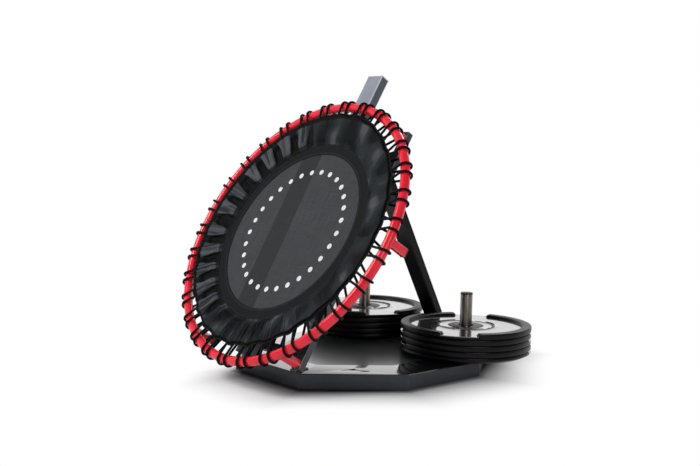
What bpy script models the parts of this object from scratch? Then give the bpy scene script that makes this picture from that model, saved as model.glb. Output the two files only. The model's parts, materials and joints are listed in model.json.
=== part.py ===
# Medicine-ball rebound net on a weighted base.
# Metres, +Z up. X runs left to right, the mat faces -Y, the floor is Z = 0.
# The tilting frame is drawn in its own axes: U across, V up along the spine, W out of the mat.
import bpy
import bmesh
import math
import numpy as np
from mathutils import Matrix, Vector

for o in list(bpy.data.objects):
    bpy.data.objects.remove(o, do_unlink=True)

GAP = 0.0003                 # between pieces that touch

# base tray: an octagon of folded sheet, its border falling gently to the edge
DECK_Z = 0.0571              # top of the deck's flat middle
DECK_BORDER, DECK_FALL = 0.112, 0.0040
DECK_FRONT_Y, DECK_REAR_Y = -0.500, 0.369
DECK_SIDE_Y0, DECK_SIDE_Y1 = -0.234, 0.095
DECK_HALF_W = 0.378
DECK_FRONT_HALF = 0.170
DECK_REAR_HALF = 0.170
DECK_SHEET = 0.004
DECK_EDGE_R = 0.0025
FOLD_CLEAR = 0.005           # lower edge of the folded sides above the floor
DRAIN_R, DRAIN_X, DRAIN_Y = 0.006, 0.228, -0.328

# ribs and feet under the deck
RIB_W, RIB_H = 0.040, 0.036
RIB_FRONT_Y, RIB_FRONT_HALF = -0.290, 0.285
RIB_REAR_Y, RIB_REAR_HALF = 0.225, 0.245
FOOT_R, FOOT_INSET = 0.022, 0.035

# posts that hold the weight plates
POST_X, POST_Y = 0.259, 0.153
POST_R, POST_WALL, POST_TOP = 0.0206, 0.0040, 0.2645
FLANGE_R, FLANGE_T = 0.055, 0.004
POST_CAP_T, POST_PLUG, POST_CAP_LIP = 0.005, 0.016, 0.0006

# weight plates, five on each post
PLATE_R, PLATE_T, PLATE_COUNT = 0.2225, 0.0196, 5
PLATE_FOOT_IN = 0.0155       # how far in the lower face starts to swell
PLATE_BORE = 0.0256
PLATE_RIM_W, PLATE_RIM_H = 0.0350, 0.0095
PLATE_BELLY = 0.45           # share of the thickness at which the plate is widest
RIM_OUT, RIM_IN, RIM_SHOULDER = 0.0050, 0.0040, 0.0035
PLATE_ARC_SIDES = 10         # flats along each of the rim's two arcs
NOTCH_HALF, NOTCH_END = math.radians(16), math.radians(0.4)
NOTCH_TURN_TOP = {"left": -24.5, "right": -53.5}      # degrees, the top plate of each side
NOTCH_TURN_UNDER = (41, 52, 43, 47)                   # the plates under it, as they were put on

# tilting frame: hinge axis, lean and the ring on it
TILT = math.radians(58.7)
HINGE_Y, HINGE_Z = -0.488, 0.100
RING_V, RING_W = 0.3660, 0.1386     # ring centre from the hinge axis
RING_R, TUBE_R = 0.4636, 0.0150
RING_SEG, TUBE_SIDES = 60, 8

# leg stubs on the back of the ring
STUB_RAD, STUB_TAN, STUB_WALL, STUB_END = 0.020, 0.027, 0.0020, 0.005
STUB_LEN = 0.0619
STUB_CAP_T, STUB_CAP_LIP = 0.003, 0.0005

# rails, crossbars and spine behind the ring
BAR_W, BAR_D, BAR_WALL = 0.030, 0.022, 0.0020
RAIL_PAST_TOP, RAIL_PAST_LOW = 0.0185, 0.0125      # rail beyond its bolts
CROSS_UP, CROSS_LOW = 0.180, -0.370
SPINE_W, SPINE_D, SPINE_WALL = 0.072, 0.035, 0.0030
SPINE_TOP, SPINE_LOW = 0.623, 0.420
CAP_T, PLUG_L, PLUG_FIT = 0.0025, 0.012, 0.0004
BOLT_R, BOLT_HEAD_R, BOLT_HEAD_H, HOLE_R, BOLT_PAST = 0.0040, 0.0080, 0.0055, 0.0049, 0.003

# frame hinge
LUG_U, LUG_T, LUG_R, LUG_SET = 0.130, 0.008, 0.015, 0.001
EAR_T, EAR_SIDE = 0.004, 0.0005
PIN_R, PIN_HOLE_R, PIN_HEAD_R, PIN_HEAD_T = 0.0058, 0.0068, 0.0105, 0.006
BRACKET_T = 0.005
BRACKET_Y0, BRACKET_Y1 = -0.496, -0.444
BRACKET_LEDGE, EAR_SET, EAR_SINK = 0.006, 0.003, 0.002    # base past the ears, ears in from its ends

# strut behind, its foot bracket and the sliding collar on the spine
FOOT_Y, FOOT_Z = 0.290, 0.092
STRUT_W, STRUT_D, STRUT_WALL, STRUT_OVER = 0.070, 0.030, 0.0030, 0.016
STRUT_SIDE = 0.0008
FOOT_EAR_T, FOOT_EAR_R, FOOT_BASE_HALF = 0.005, 0.018, 0.062
FOOT_BASE_Y0, FOOT_BASE_Y1 = 0.262, 0.318
COLLAR_FIT, COLLAR_WALL, COLLAR_LEN = 0.0008, 0.004, 0.060
COLLAR_EAR_R, COLLAR_EAR_FLARE, COLLAR_SINK = 0.016, 0.004, 0.001
BOSS_R, BOSS_L = 0.011, 0.008
KNOB_R, KNOB_DIP_R, KNOB_FACE_R = 0.021, 0.0176, 0.0151
KNOB_T, KNOB_SIDE, STUD_R = 0.015, 0.012, 0.0040

# mat, its edge hoop and the binding whose straps fold round the hoop
MAT_W = -0.006               # mat centre from the ring's plane
MAT_T, MAT_EDGE = 0.0024, 0.0120    # cloth, and its edge inside the hoop
BAND_W, BAND_T = 0.0575, 0.0016
HOOP_IN, HOOP_WIRE = 0.1116, 0.0025  # hoop inside the ring's centre line
STRAP_W, STRAP_COUNT, STRAP_LAP = 0.014, 15, 0.0194
STRAP_INSET, STRAP_ROOT, STRAP_NECK = 0.0002, 0.010, 0.004    # in from the band's faces, edge and hoop

# bungee lacing: pairs of wraps over the ring tube
WRAP_PAIRS, CORD_COUNT = 30, 3
CORD_R = 0.0042
CORD_PAIR_HALF = math.radians(1.9)
CORD_GAP = 0.0004
CORD_END_SHARE, CORD_END_OUT, CORD_END_DROP = 0.13, 0.004, 0.001    # where a cord's end is tucked in

# skirt over the lacing
SKIRT_INSIDE, SKIRT_OUTSIDE = 0.0310, 0.0476        # inside the hoop, and inside the ring
SKIRT_T, SKIRT_FOLDS = 0.0016, 30
SKIRT_WAVE, SKIRT_CROWN, SKIRT_OFF_CORD = 0.0022, 0.0028, 0.0006
SKIRT_STEP, STRAND_SHORT, STRAND_COVER = 0.0012, 0.003, 0.75


def material(name, rgb, rough, metal):
    m = bpy.data.materials.new(name)
    m.use_nodes = True
    b = m.node_tree.nodes["Principled BSDF"]
    b.inputs["Base Color"].default_value = (*rgb, 1)
    b.inputs["Roughness"].default_value = rough
    b.inputs["Metallic"].default_value = metal
    m.diffuse_color = (*rgb, 1)
    return m


BLACK = material("black powder coat", (0.030, 0.032, 0.036), 0.30, 0.1)
GREY = material("grey powder coat", (0.14, 0.145, 0.155), 0.38, 0.3)
RED = material("red gloss paint", (0.62, 0.02, 0.035), 0.25, 0.1)
STEEL = material("brushed steel", (0.42, 0.41, 0.39), 0.30, 1.0)
ZINC = material("zinc plated steel", (0.55, 0.55, 0.55), 0.35, 1.0)
RUBBER = material("black rubber", (0.018, 0.018, 0.019), 0.75, 0.0)
PLASTIC = material("black plastic", (0.022, 0.022, 0.024), 0.5, 0.0)
MESH = material("woven mat", (0.045, 0.048, 0.052), 0.8, 0.0)
CLOTH = material("black nylon", (0.025, 0.026, 0.028), 0.6, 0.0)
CORD = material("black elastic cord", (0.015, 0.015, 0.015), 0.7, 0.0)
PLATE = material("grey enamelled iron", (0.10, 0.10, 0.105), 0.35, 0.6)


def empty(name, loc, rx=0.0, parent=None):
    e = bpy.data.objects.new(name, None)
    bpy.context.scene.collection.objects.link(e)
    e.location = loc
    e.rotation_euler = (rx, 0, 0)
    e.parent = parent
    return e


machine = empty("machine", (0, 0, 0))


def link(name, bm, mat, parent=None, smooth=False):
    bmesh.ops.recalc_face_normals(bm, faces=bm.faces)
    me = bpy.data.meshes.new(name)
    bm.to_mesh(me)
    bm.free()
    if smooth:
        me.shade_smooth()
        me.set_sharp_from_angle(angle=math.radians(40))
    me.materials.append(mat)
    o = bpy.data.objects.new(name, me)
    bpy.context.scene.collection.objects.link(o)
    o.parent = parent or machine
    return o


def loft(bm, rings, closed=False, caps=True):
    "Join rings of points into one skin; closed joins the last ring to the first."
    vs = [[bm.verts.new(p) for p in r] for r in rings]
    n = len(rings[0])
    pairs = list(zip(vs, vs[1:])) + ([(vs[-1], vs[0])] if closed else [])
    for a, b in pairs:
        for i in range(n):
            j = (i + 1) % n
            bm.faces.new((a[i], a[j], b[j], b[i]))
    if caps and not closed:
        bm.faces.new(vs[0])
        bm.faces.new(vs[-1])
    return vs


def rect(hx, hy, cx=0.0, cy=0.0):
    return [(cx - hx, cy - hy), (cx + hx, cy - hy), (cx + hx, cy + hy), (cx - hx, cy + hy)]


def ngon(r, n, cx=0.0, cy=0.0, turn=0.0):
    angles = [turn + 2 * math.pi * i / n for i in range(n)]
    return [(cx + r * math.cos(a), cy + r * math.sin(a)) for a in angles]


def half_round(r, degrees, cx=0.0, cy=0.0):
    "Points on an arc, one at each angle."
    return [(cx + r * math.cos(math.radians(d)), cy + r * math.sin(math.radians(d))) for d in degrees]


def place(axis, pts, t):
    "2-D points at height t along the axis: x -> (t,a,b), y -> (a,t,b), z -> (a,b,t)."
    if axis == "x":
        return [(t, a, b) for a, b in pts]
    if axis == "y":
        return [(a, t, b) for a, b in pts]
    return [(a, b, t) for a, b in pts]


def stack(bm, axis, levels):
    "levels is a list of (points, height): a solid with steps where two levels share a height."
    loft(bm, [place(axis, p, t) for p, t in levels])


def box_tube(bm, axis, hx, hy, wall, t0, t1, cx=0.0, cy=0.0):
    "Rectangular tube, open at both ends."
    o, i = rect(hx, hy, cx, cy), rect(hx - wall, hy - wall, cx, cy)
    loft(bm, [place(axis, o, t0), place(axis, o, t1), place(axis, i, t1), place(axis, i, t0)], closed=True)


def plug(bm, axis, hx, hy, wall, t_face, way, cx=0.0, cy=0.0, cap=CAP_T):
    "End plug: a cap on the tube's end and a shank inside it; way is +1 or -1, out of the tube."
    o = rect(hx, hy, cx, cy)
    i = rect(hx - wall - PLUG_FIT, hy - wall - PLUG_FIT, cx, cy)
    stack(bm, axis, [(o, t_face + way * cap), (o, t_face), (i, t_face), (i, t_face - way * PLUG_L)])


def bolt(bm, axis, cx, cy, under, way, length, sides=6):
    "Hex bolt: under is the seat of its head, way points from the shank to the head."
    h, s = ngon(BOLT_HEAD_R, sides, cx, cy), ngon(BOLT_R, sides, cx, cy)
    stack(bm, axis, [(h, under + way * BOLT_HEAD_H), (h, under), (s, under), (s, under - way * length)])


def pin(bm, cy, cz, x0, x1):
    "Pivot bolt along X with a head and a nut outside x0 and x1."
    h, s = ngon(PIN_HEAD_R, 8, cy, cz, math.pi / 8), ngon(PIN_R, 8, cy, cz, math.pi / 8)
    a, b = x0 - GAP, x1 + GAP
    stack(bm, "x", [(h, a - PIN_HEAD_T), (h, a), (s, a), (s, b), (h, b), (h, b + PIN_HEAD_T)])


def cut(target, bm, name, parent=None, op="DIFFERENCE"):
    c = link(name, bm, PLASTIC, parent)
    c.hide_render = True
    c.display_type = "WIRE"
    m = target.modifiers.new(name, "BOOLEAN")
    m.operation = op
    m.solver = "EXACT"
    m.object = c
    return c


def rod(bm, axis, r, n, cx, cy, t0, t1, turn=0.0):
    p = ngon(r, n, cx, cy, turn)
    stack(bm, axis, [(p, t0), (p, t1)])


# linkage: the foot, the frame hinge and the collar pivot form an isosceles triangle,
# so the strut always turns twice as far as the frame and the collar stays on the spine
REACH = math.hypot(FOOT_Y - HINGE_Y, FOOT_Z - HINGE_Z)
FOOT_RISE = math.atan2(FOOT_Z - HINGE_Z, FOOT_Y - HINGE_Y)
STRUT_ANGLE = 2 * TILT - FOOT_RISE
COLLAR_V = 2 * REACH * math.cos(TILT - FOOT_RISE)

tilt_axis = empty("tilt_axis", (0, HINGE_Y, HINGE_Z), TILT, machine)
strut_axis = empty("strut_axis", (0, FOOT_Y, FOOT_Z), STRUT_ANGLE, machine)
collar_axis = empty("collar_axis", (0, REACH, 0), TILT - STRUT_ANGLE, strut_axis)
left_axis = empty("left_post_axis", (-POST_X, POST_Y, 0), 0, machine)
right_axis = empty("right_post_axis", (POST_X, POST_Y, 0), 0, machine)

# base tray
DECK_CORNERS = [Vector(q) for q in (
    (-DECK_FRONT_HALF, DECK_FRONT_Y), (DECK_FRONT_HALF, DECK_FRONT_Y),
    (DECK_HALF_W, DECK_SIDE_Y0), (DECK_HALF_W, DECK_SIDE_Y1),
    (DECK_REAR_HALF, DECK_REAR_Y), (-DECK_REAR_HALF, DECK_REAR_Y),
    (-DECK_HALF_W, DECK_SIDE_Y1), (-DECK_HALF_W, DECK_SIDE_Y0))]


def octagon(inset):
    "Deck outline moved inwards by inset, corner by corner."
    p = DECK_CORNERS
    out = []
    for i in range(8):
        a, b, c = p[i - 1], p[i], p[(i + 1) % 8]
        d1, d2 = (b - a).normalized(), (c - b).normalized()
        n1, n2 = Vector((-d1.y, d1.x)), Vector((-d2.y, d2.x))
        m = (n1 + n2).normalized()
        q = b + m * inset / m.dot(n1)
        out.append((q.x, q.y))
    return out


def deck_top(x, y):
    "Height of the deck's upper face: flat in the middle, falling over the border."
    sides = zip(DECK_CORNERS, DECK_CORNERS[1:] + DECK_CORNERS[:1])
    inside = min((b - a).normalized().cross(Vector((x, y)) - a) for a, b in sides)
    return DECK_Z - DECK_FALL * min(1.0, max(0.0, 1 - inside / DECK_BORDER))


EDGE_Z = DECK_Z - DECK_FALL
bm = bmesh.new()
stack(bm, "z", [(octagon(DECK_BORDER), DECK_Z - DECK_SHEET), (octagon(DECK_SHEET), EDGE_Z - DECK_SHEET),
                (octagon(DECK_SHEET), FOLD_CLEAR), (octagon(0), FOLD_CLEAR),
                (octagon(0), EDGE_Z - DECK_EDGE_R), (octagon(DECK_EDGE_R), EDGE_Z),
                (octagon(DECK_BORDER), DECK_Z)])
deck = link("base_deck", bm, BLACK)

bm = bmesh.new()
for s in (-1, 1):
    rod(bm, "z", DRAIN_R, 10, s * DRAIN_X, DRAIN_Y, EDGE_Z - 2 * DECK_SHEET, DECK_Z + DECK_SHEET)
cut(deck, bm, "deck_holes")

for nm, y, half in (("front", RIB_FRONT_Y, RIB_FRONT_HALF), ("rear", RIB_REAR_Y, RIB_REAR_HALF)):
    rib_top = deck_top(half, y + math.copysign(RIB_W / 2, y)) - DECK_SHEET - GAP
    bm = bmesh.new()
    box_tube(bm, "x", RIB_W / 2, RIB_H / 2, DECK_SHEET, -half, half, y, rib_top - RIB_H / 2)
    link("base_rib_" + nm, bm, BLACK)
    for s, side in ((-1, "left"), (1, "right")):
        bm = bmesh.new()
        rod(bm, "z", FOOT_R, 12, s * (half - FOOT_INSET), y, 0, rib_top - RIB_H - GAP)
        link("foot_%s_%s" % (nm, side), bm, RUBBER, smooth=True)

# posts
FLANGE_TOP = DECK_Z + GAP + FLANGE_T
bore, tube, flange, lip = (ngon(r, 16) for r in (POST_R - POST_WALL, POST_R, FLANGE_R, POST_R + POST_CAP_LIP))
shank = ngon(POST_R - POST_WALL - PLUG_FIT, 16)
tube_top = POST_TOP - POST_CAP_T
for axis_e, side in ((left_axis, "left"), (right_axis, "right")):
    bm = bmesh.new()
    stack(bm, "z", [(bore, FLANGE_TOP), (bore, tube_top), (tube, tube_top), (tube, FLANGE_TOP),
                    (flange, FLANGE_TOP), (flange, DECK_Z + GAP)])
    link("post_" + side, bm, STEEL, axis_e, smooth=True)
    bm = bmesh.new()
    seat = tube_top + GAP
    stack(bm, "z", [(lip, POST_TOP), (lip, seat), (shank, seat), (shank, tube_top - POST_PLUG)])
    link("post_cap_" + side, bm, PLASTIC, axis_e, smooth=True)

# weight plates: a raised rim in two arcs and a recessed web


def plate(name, axis_e, z0, turn):
    web, foot, rim = PLATE_T - PLATE_RIM_H, PLATE_R - PLATE_FOOT_IN, PLATE_R - PLATE_RIM_W
    arc = math.pi - 2 * NOTCH_HALF - 2 * NOTCH_END
    spots = []
    for half in (0, math.pi):
        spots += [(half + a, web) for a in (-NOTCH_HALF, 0, NOTCH_HALF)]
        start = half + NOTCH_HALF + NOTCH_END
        spots += [(start + arc * k / PLATE_ARC_SIDES, PLATE_T) for k in range(PLATE_ARC_SIDES + 1)]
    rings = [[] for _ in range(8)]
    for a, top in spots:
        profile = [(PLATE_BORE, 0), (foot, 0),
                   (PLATE_R, PLATE_BELLY * PLATE_T), (PLATE_R, top - RIM_SHOULDER),
                   (PLATE_R - RIM_OUT, top), (rim + RIM_IN, top), (rim, web), (PLATE_BORE, web)]
        for k, (r, z) in enumerate(profile):
            rings[k].append((r * math.cos(turn + a), r * math.sin(turn + a), z0 + z))
    bm = bmesh.new()
    loft(bm, rings, closed=True)
    link(name, bm, PLATE, axis_e, smooth=True)


for axis_e, side in ((left_axis, "left"), (right_axis, "right")):
    for k in range(PLATE_COUNT):
        top_one = k == PLATE_COUNT - 1
        turn = NOTCH_TURN_TOP[side] if top_one else NOTCH_TURN_UNDER[k % len(NOTCH_TURN_UNDER)]
        z0 = FLANGE_TOP + GAP + k * (PLATE_T + GAP)
        plate("plate_%s_%d" % (side, k + 1), axis_e, z0, math.radians(turn))

# frame hinge brackets on the deck


def bracket_base(bm, x0, x1, y0, y1):
    "A flat bar that lies on the sloping border; gives the height of its lowest upper corner."
    corners = [(x0, y0), (x1, y0), (x1, y1), (x0, y1)]
    loft(bm, [[(x, y, deck_top(x, y) + GAP + t) for x, y in corners] for t in (0, BRACKET_T)])
    return min(deck_top(x, y) for x, y in corners) + GAP + BRACKET_T


EAR_IN = LUG_T / 2 + EAR_SIDE
EAR_OUT = EAR_IN + EAR_T
BRACKET_HALF = EAR_OUT + BRACKET_LEDGE


def bracket_ear(bm, x0, x1, ys, pivot, r, top_z):
    "Side plate: wide at its foot, round about the pivot."
    pts = [(ys[0], top_z), (ys[1], top_z), *half_round(r, (0, 45, 90, 135, 180), *pivot)]
    stack(bm, "x", [(pts, x0), (pts, x1)])


for s, side in ((-1, "left"), (1, "right")):
    bm = bmesh.new()
    cx = s * LUG_U
    top = bracket_base(bm, cx - BRACKET_HALF, cx + BRACKET_HALF, BRACKET_Y0, BRACKET_Y1)
    br = link("hinge_bracket_" + side, bm, GREY)
    for k, t in enumerate((-1, 1)):
        bm = bmesh.new()
        x0, x1 = sorted((cx + t * EAR_IN, cx + t * EAR_OUT))
        ends = (BRACKET_Y0 + EAR_SET, BRACKET_Y1 - EAR_SET)
        bracket_ear(bm, x0, x1, ends, (HINGE_Y, HINGE_Z), LUG_R, top - EAR_SINK)
        cut(br, bm, "ear_%s_%d" % (side, k), op="UNION")
    bm = bmesh.new()
    rod(bm, "x", PIN_HOLE_R, 8, HINGE_Y, HINGE_Z, cx - 2 * BRACKET_HALF, cx + 2 * BRACKET_HALF, math.pi / 8)
    cut(br, bm, "bracket_hole_" + side)
    bm = bmesh.new()
    pin(bm, HINGE_Y, HINGE_Z, cx - EAR_OUT, cx + EAR_OUT)
    link("hinge_pin_" + side, bm, ZINC)

# strut foot bracket
FOOT_EAR_IN = STRUT_W / 2 + STRUT_SIDE
FOOT_EAR_OUT = FOOT_EAR_IN + FOOT_EAR_T
bm = bmesh.new()
top = bracket_base(bm, -FOOT_BASE_HALF, FOOT_BASE_HALF, FOOT_BASE_Y0, FOOT_BASE_Y1)
foot_br = link("strut_bracket", bm, BLACK)
for k, t in enumerate((-1, 1)):
    bm = bmesh.new()
    x0, x1 = sorted((t * FOOT_EAR_IN, t * FOOT_EAR_OUT))
    ends = (FOOT_BASE_Y0 + EAR_SET, FOOT_BASE_Y1 - EAR_SET)
    bracket_ear(bm, x0, x1, ends, (FOOT_Y, FOOT_Z), FOOT_EAR_R, top - EAR_SINK)
    cut(foot_br, bm, "foot_ear_%d" % k, op="UNION")
bm = bmesh.new()
rod(bm, "x", PIN_HOLE_R, 8, FOOT_Y, FOOT_Z, -2 * FOOT_EAR_OUT, 2 * FOOT_EAR_OUT, math.pi / 8)
cut(foot_br, bm, "foot_bracket_hole")

bm = bmesh.new()
pin(bm, FOOT_Y, FOOT_Z, -FOOT_EAR_OUT, FOOT_EAR_OUT)
link("strut_foot_pin", bm, ZINC)

# strut
bm = bmesh.new()
box_tube(bm, "y", STRUT_W / 2, STRUT_D / 2, STRUT_WALL, -STRUT_OVER, REACH + STRUT_OVER)
strut = link("strut", bm, BLACK, strut_axis)
bm = bmesh.new()
for v in (0, REACH):
    rod(bm, "x", PIN_HOLE_R, 8, v, 0, -STRUT_W, STRUT_W, math.pi / 8)
cut(strut, bm, "strut_holes", strut_axis)

# spine, rails and crossbars
BACK_W = RING_W - TUBE_R - GAP - STUB_LEN - GAP      # plane where rails and spine meet the stubs
SPINE_CW = BACK_W + GAP + SPINE_D / 2
BAR_CW = BACK_W - BAR_D / 2
RAIL_U = RING_R * math.cos(math.radians(60))
RAIL_BOLT_V = RING_R * math.sin(math.radians(60))
RAIL_TOP, RAIL_LOW = RAIL_BOLT_V + RAIL_PAST_TOP, RAIL_BOLT_V + RAIL_PAST_LOW

spine_face_low, spine_face_top = RING_V - SPINE_LOW + CAP_T, RING_V + SPINE_TOP - CAP_T
bm = bmesh.new()
low, high = spine_face_low + GAP, spine_face_top - GAP
box_tube(bm, "y", SPINE_W / 2, SPINE_D / 2, SPINE_WALL, low, high, 0, SPINE_CW)
spine = link("spine", bm, GREY, tilt_axis)
for nm, face, way in (("top", spine_face_top, 1), ("low", spine_face_low, -1)):
    bm = bmesh.new()
    plug(bm, "y", SPINE_W / 2, SPINE_D / 2, SPINE_WALL, face, way, 0, SPINE_CW)
    link("spine_cap_" + nm, bm, PLASTIC if nm == "low" else GREY, tilt_axis)

for s, side in ((-1, "left"), (1, "right")):
    bm = bmesh.new()
    low, high = RING_V - RAIL_LOW, RING_V + RAIL_TOP
    box_tube(bm, "y", BAR_W / 2, BAR_D / 2, BAR_WALL, low, high, s * RAIL_U, BAR_CW)
    rail = link("rail_" + side, bm, GREY, tilt_axis)
    bm = bmesh.new()
    for t in (-1, 1):
        through = (BACK_W - BAR_D - BAR_WALL, BACK_W + BAR_WALL)
        rod(bm, "z", HOLE_R, 6, s * RAIL_U, RING_V + t * RAIL_BOLT_V, *through)
    cut(rail, bm, "rail_holes_" + side, tilt_axis)
    for t, end in ((-1, "lower"), (1, "upper")):
        bm = bmesh.new()
        reach = BAR_D + 2 * GAP + STUB_END + BOLT_PAST
        bolt(bm, "z", s * RAIL_U, RING_V + t * RAIL_BOLT_V, BACK_W - BAR_D - GAP, -1, reach)
        link("rail_bolt_%s_%s" % (end, side), bm, ZINC, tilt_axis)

for nm, v in (("upper", CROSS_UP), ("lower", CROSS_LOW)):
    bm = bmesh.new()
    half = RAIL_U - BAR_W / 2 - GAP
    box_tube(bm, "x", BAR_W / 2, BAR_D / 2, BAR_WALL, -half, half, RING_V + v, BAR_CW)
    link("crossbar_" + nm, bm, GREY, tilt_axis)

# hinge lugs on the lower crossbar
for s, side in ((-1, "left"), (1, "right")):
    bm = bmesh.new()
    wtop = BACK_W - BAR_D - GAP
    vc = RING_V + CROSS_LOW
    pts = [(vc - BAR_W / 2 + LUG_SET, wtop), (vc + BAR_W / 2 - LUG_SET, wtop)]
    pts += half_round(LUG_R, (0, -45, -90, -135, -180))
    stack(bm, "x", [(pts, s * LUG_U - LUG_T / 2), (pts, s * LUG_U + LUG_T / 2)])
    lug = link("hinge_lug_" + side, bm, GREY, tilt_axis)
    bm = bmesh.new()
    rod(bm, "x", PIN_HOLE_R, 8, 0, 0, s * LUG_U - LUG_T, s * LUG_U + LUG_T, math.pi / 8)
    cut(lug, bm, "lug_hole_" + side, tilt_axis)

# collar that slides on the spine
side_u = SPINE_W / 2 + COLLAR_FIT + COLLAR_WALL
side_w = SPINE_D / 2 + COLLAR_FIT + COLLAR_WALL
bm = bmesh.new()
box_tube(bm, "y", side_u, side_w, COLLAR_WALL, -COLLAR_LEN / 2, COLLAR_LEN / 2, 0, SPINE_CW)
collar = link("collar", bm, BLACK, collar_axis)
back = SPINE_CW - side_w
for k, t in enumerate((-1, 1)):
    bm = bmesh.new()
    x0, x1 = sorted((t * FOOT_EAR_IN, t * side_u))
    root = COLLAR_EAR_R + COLLAR_EAR_FLARE
    pts = [(-root, back + COLLAR_SINK), (root, back + COLLAR_SINK)]
    pts += half_round(COLLAR_EAR_R, (0, -45, -90, -135, -180))
    stack(bm, "x", [(pts, x0), (pts, x1)])
    cut(collar, bm, "collar_ear_%d" % k, collar_axis, op="UNION")
bm = bmesh.new()
rod(bm, "x", BOSS_R, 8, 0, SPINE_CW, side_u - COLLAR_SINK, side_u + BOSS_L, math.pi / 8)
cut(collar, bm, "collar_boss", collar_axis, op="UNION")
bm = bmesh.new()
rod(bm, "x", PIN_HOLE_R, 8, 0, 0, -2 * side_u, 2 * side_u, math.pi / 8)
inner = side_u - COLLAR_WALL - COLLAR_FIT / 2
rod(bm, "x", HOLE_R, 8, 0, SPINE_CW, inner, side_u + 2 * BOSS_L, math.pi / 8)
cut(collar, bm, "collar_holes", collar_axis)

bm = bmesh.new()
pin(bm, 0, 0, -side_u, side_u)
link("strut_top_pin", bm, ZINC, collar_axis)

# clamp knob: a stud whose tip bears on the spine, with a six-lobed grip
bm = bmesh.new()
lobes, dips = ngon(KNOB_R, 12, 0, SPINE_CW), ngon(KNOB_DIP_R, 12, 0, SPINE_CW)
grip = [lobes[i] if i % 2 else dips[i] for i in range(12)]
face, stud = ngon(KNOB_FACE_R, 12, 0, SPINE_CW), ngon(STUD_R, 12, 0, SPINE_CW)
k0 = side_u + BOSS_L + GAP
stack(bm, "x", [(stud, SPINE_W / 2 + GAP), (stud, k0),
                (grip, k0), (grip, k0 + KNOB_SIDE), (face, k0 + KNOB_T)])
knob = link("clamp_knob", bm, PLASTIC, collar_axis)

# ring and its leg stubs


def ring_xyz(rho, ang, w):
    return (rho * math.cos(ang), RING_V + rho * math.sin(ang), RING_W + w)


START = math.radians(3)      # the facets' corners lie here, so that a flat faces each stub


def round_ring(bm, radius, wire, sides, w, around=RING_SEG):
    "A closed hoop of round wire, in the ring's plane or w in front of it."
    section = ngon(wire, sides)
    turns = [START + 2 * math.pi * i / around for i in range(around)]
    loft(bm, [[ring_xyz(radius + x, a, w + y) for x, y in section] for a in turns], closed=True)


bm = bmesh.new()
round_ring(bm, RING_R, TUBE_R, TUBE_SIDES, 0)
link("ring_tube", bm, RED, tilt_axis, smooth=True)


def stub_section(a, hr, ht, w):
    "Corners of a stub's section at angle a of the ring, at height w."
    out, along = Vector((math.cos(a), math.sin(a))), Vector((-math.sin(a), math.cos(a)))
    c = out * RING_R * math.cos(START) + Vector((0, RING_V))
    return [(*(c + out * x + along * y), RING_W + w) for x, y in rect(hr, ht)]


for deg, nm in ((0, "right"), (60, "upper_right"), (120, "upper_left"),
                (180, "left"), (240, "lower_left"), (300, "lower_right")):
    a = math.radians(deg)
    free = deg % 180 == 0
    w0 = -TUBE_R - GAP
    w1 = w0 - STUB_LEN + ((STUB_CAP_T + GAP) if free else 0)
    hr, ht = STUB_RAD / 2, STUB_TAN / 2
    bm = bmesh.new()
    loft(bm, [stub_section(a, hr - STUB_WALL, ht - STUB_WALL, w1 + STUB_END),
              stub_section(a, hr - STUB_WALL, ht - STUB_WALL, w0),
              stub_section(a, hr, ht, w0), stub_section(a, hr, ht, w1)])
    stub = link("stub_" + nm, bm, RED, tilt_axis)
    if free:
        bm = bmesh.new()
        cap = (hr + STUB_CAP_LIP, ht + STUB_CAP_LIP)
        loft(bm, [stub_section(a, *cap, w1 - GAP), stub_section(a, *cap, w1 - GAP - STUB_CAP_T)])
        link("stub_cap_" + nm, bm, PLASTIC, tilt_axis)
    else:
        bm = bmesh.new()
        hole_u, hole_v = math.copysign(RAIL_U, math.cos(a)), RING_V + math.copysign(RAIL_BOLT_V, math.sin(a))
        rod(bm, "z", HOLE_R, 6, hole_u, hole_v, RING_W + w1 - STUB_END, RING_W + w1 + 2 * STUB_END)
        cut(stub, bm, "stub_hole_" + nm, tilt_axis)

# mat
HOOP_R = RING_R - HOOP_IN
MAT_R = HOOP_R - MAT_EDGE
BAND_IN = MAT_R - BAND_W
STRAP_BACK = MAT_R - STRAP_LAP
bm = bmesh.new()
disc = ngon(MAT_R, RING_SEG, 0, RING_V, START)
stack(bm, "z", [(disc, RING_W + MAT_W - MAT_T / 2), (disc, RING_W + MAT_W + MAT_T / 2)])
link("mat", bm, MESH, tilt_axis)
bm = bmesh.new()
round_ring(bm, HOOP_R, HOOP_WIRE, 6, MAT_W)
link("mat_hoop", bm, ZINC, tilt_axis, smooth=True)

# a band on the mat's face, with straps that run round the hoop and end behind the mat
SLEEVE_IN = (HOOP_WIRE + GAP) / math.cos(math.radians(22.5))
SLEEVE_OUT = SLEEVE_IN + BAND_T - 2 * STRAP_INSET
LEG = MAT_T / 2 + GAP
section = ((BAND_IN, LEG), (MAT_R, LEG), (MAT_R, LEG + BAND_T), (BAND_IN, LEG + BAND_T))
turns = [START + 2 * math.pi * i / RING_SEG for i in range(RING_SEG)]
bm = bmesh.new()
loft(bm, [[ring_xyz(r, a, MAT_W + w) for a in turns] for r, w in section], closed=True)
band = link("mat_binding", bm, CLOTH, tilt_axis)
hc = HOOP_R * math.cos(START)
leg_in, leg_out = LEG + STRAP_INSET, LEG + BAND_T - STRAP_INSET
turn_in, turn_out = (half_round(r, (90, 45, 0, -45, -90), hc) for r in (SLEEVE_IN, SLEEVE_OUT))
root, neck = MAT_R - STRAP_ROOT, hc - STRAP_NECK
half = [(root, leg_in), (neck, leg_in), *turn_in, (neck, -leg_in), (STRAP_BACK, -leg_in)]
back = [(STRAP_BACK, -leg_out), (neck, -leg_out), *turn_out[::-1], (neck, leg_out), (root, leg_out)]
bm = bmesh.new()
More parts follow.
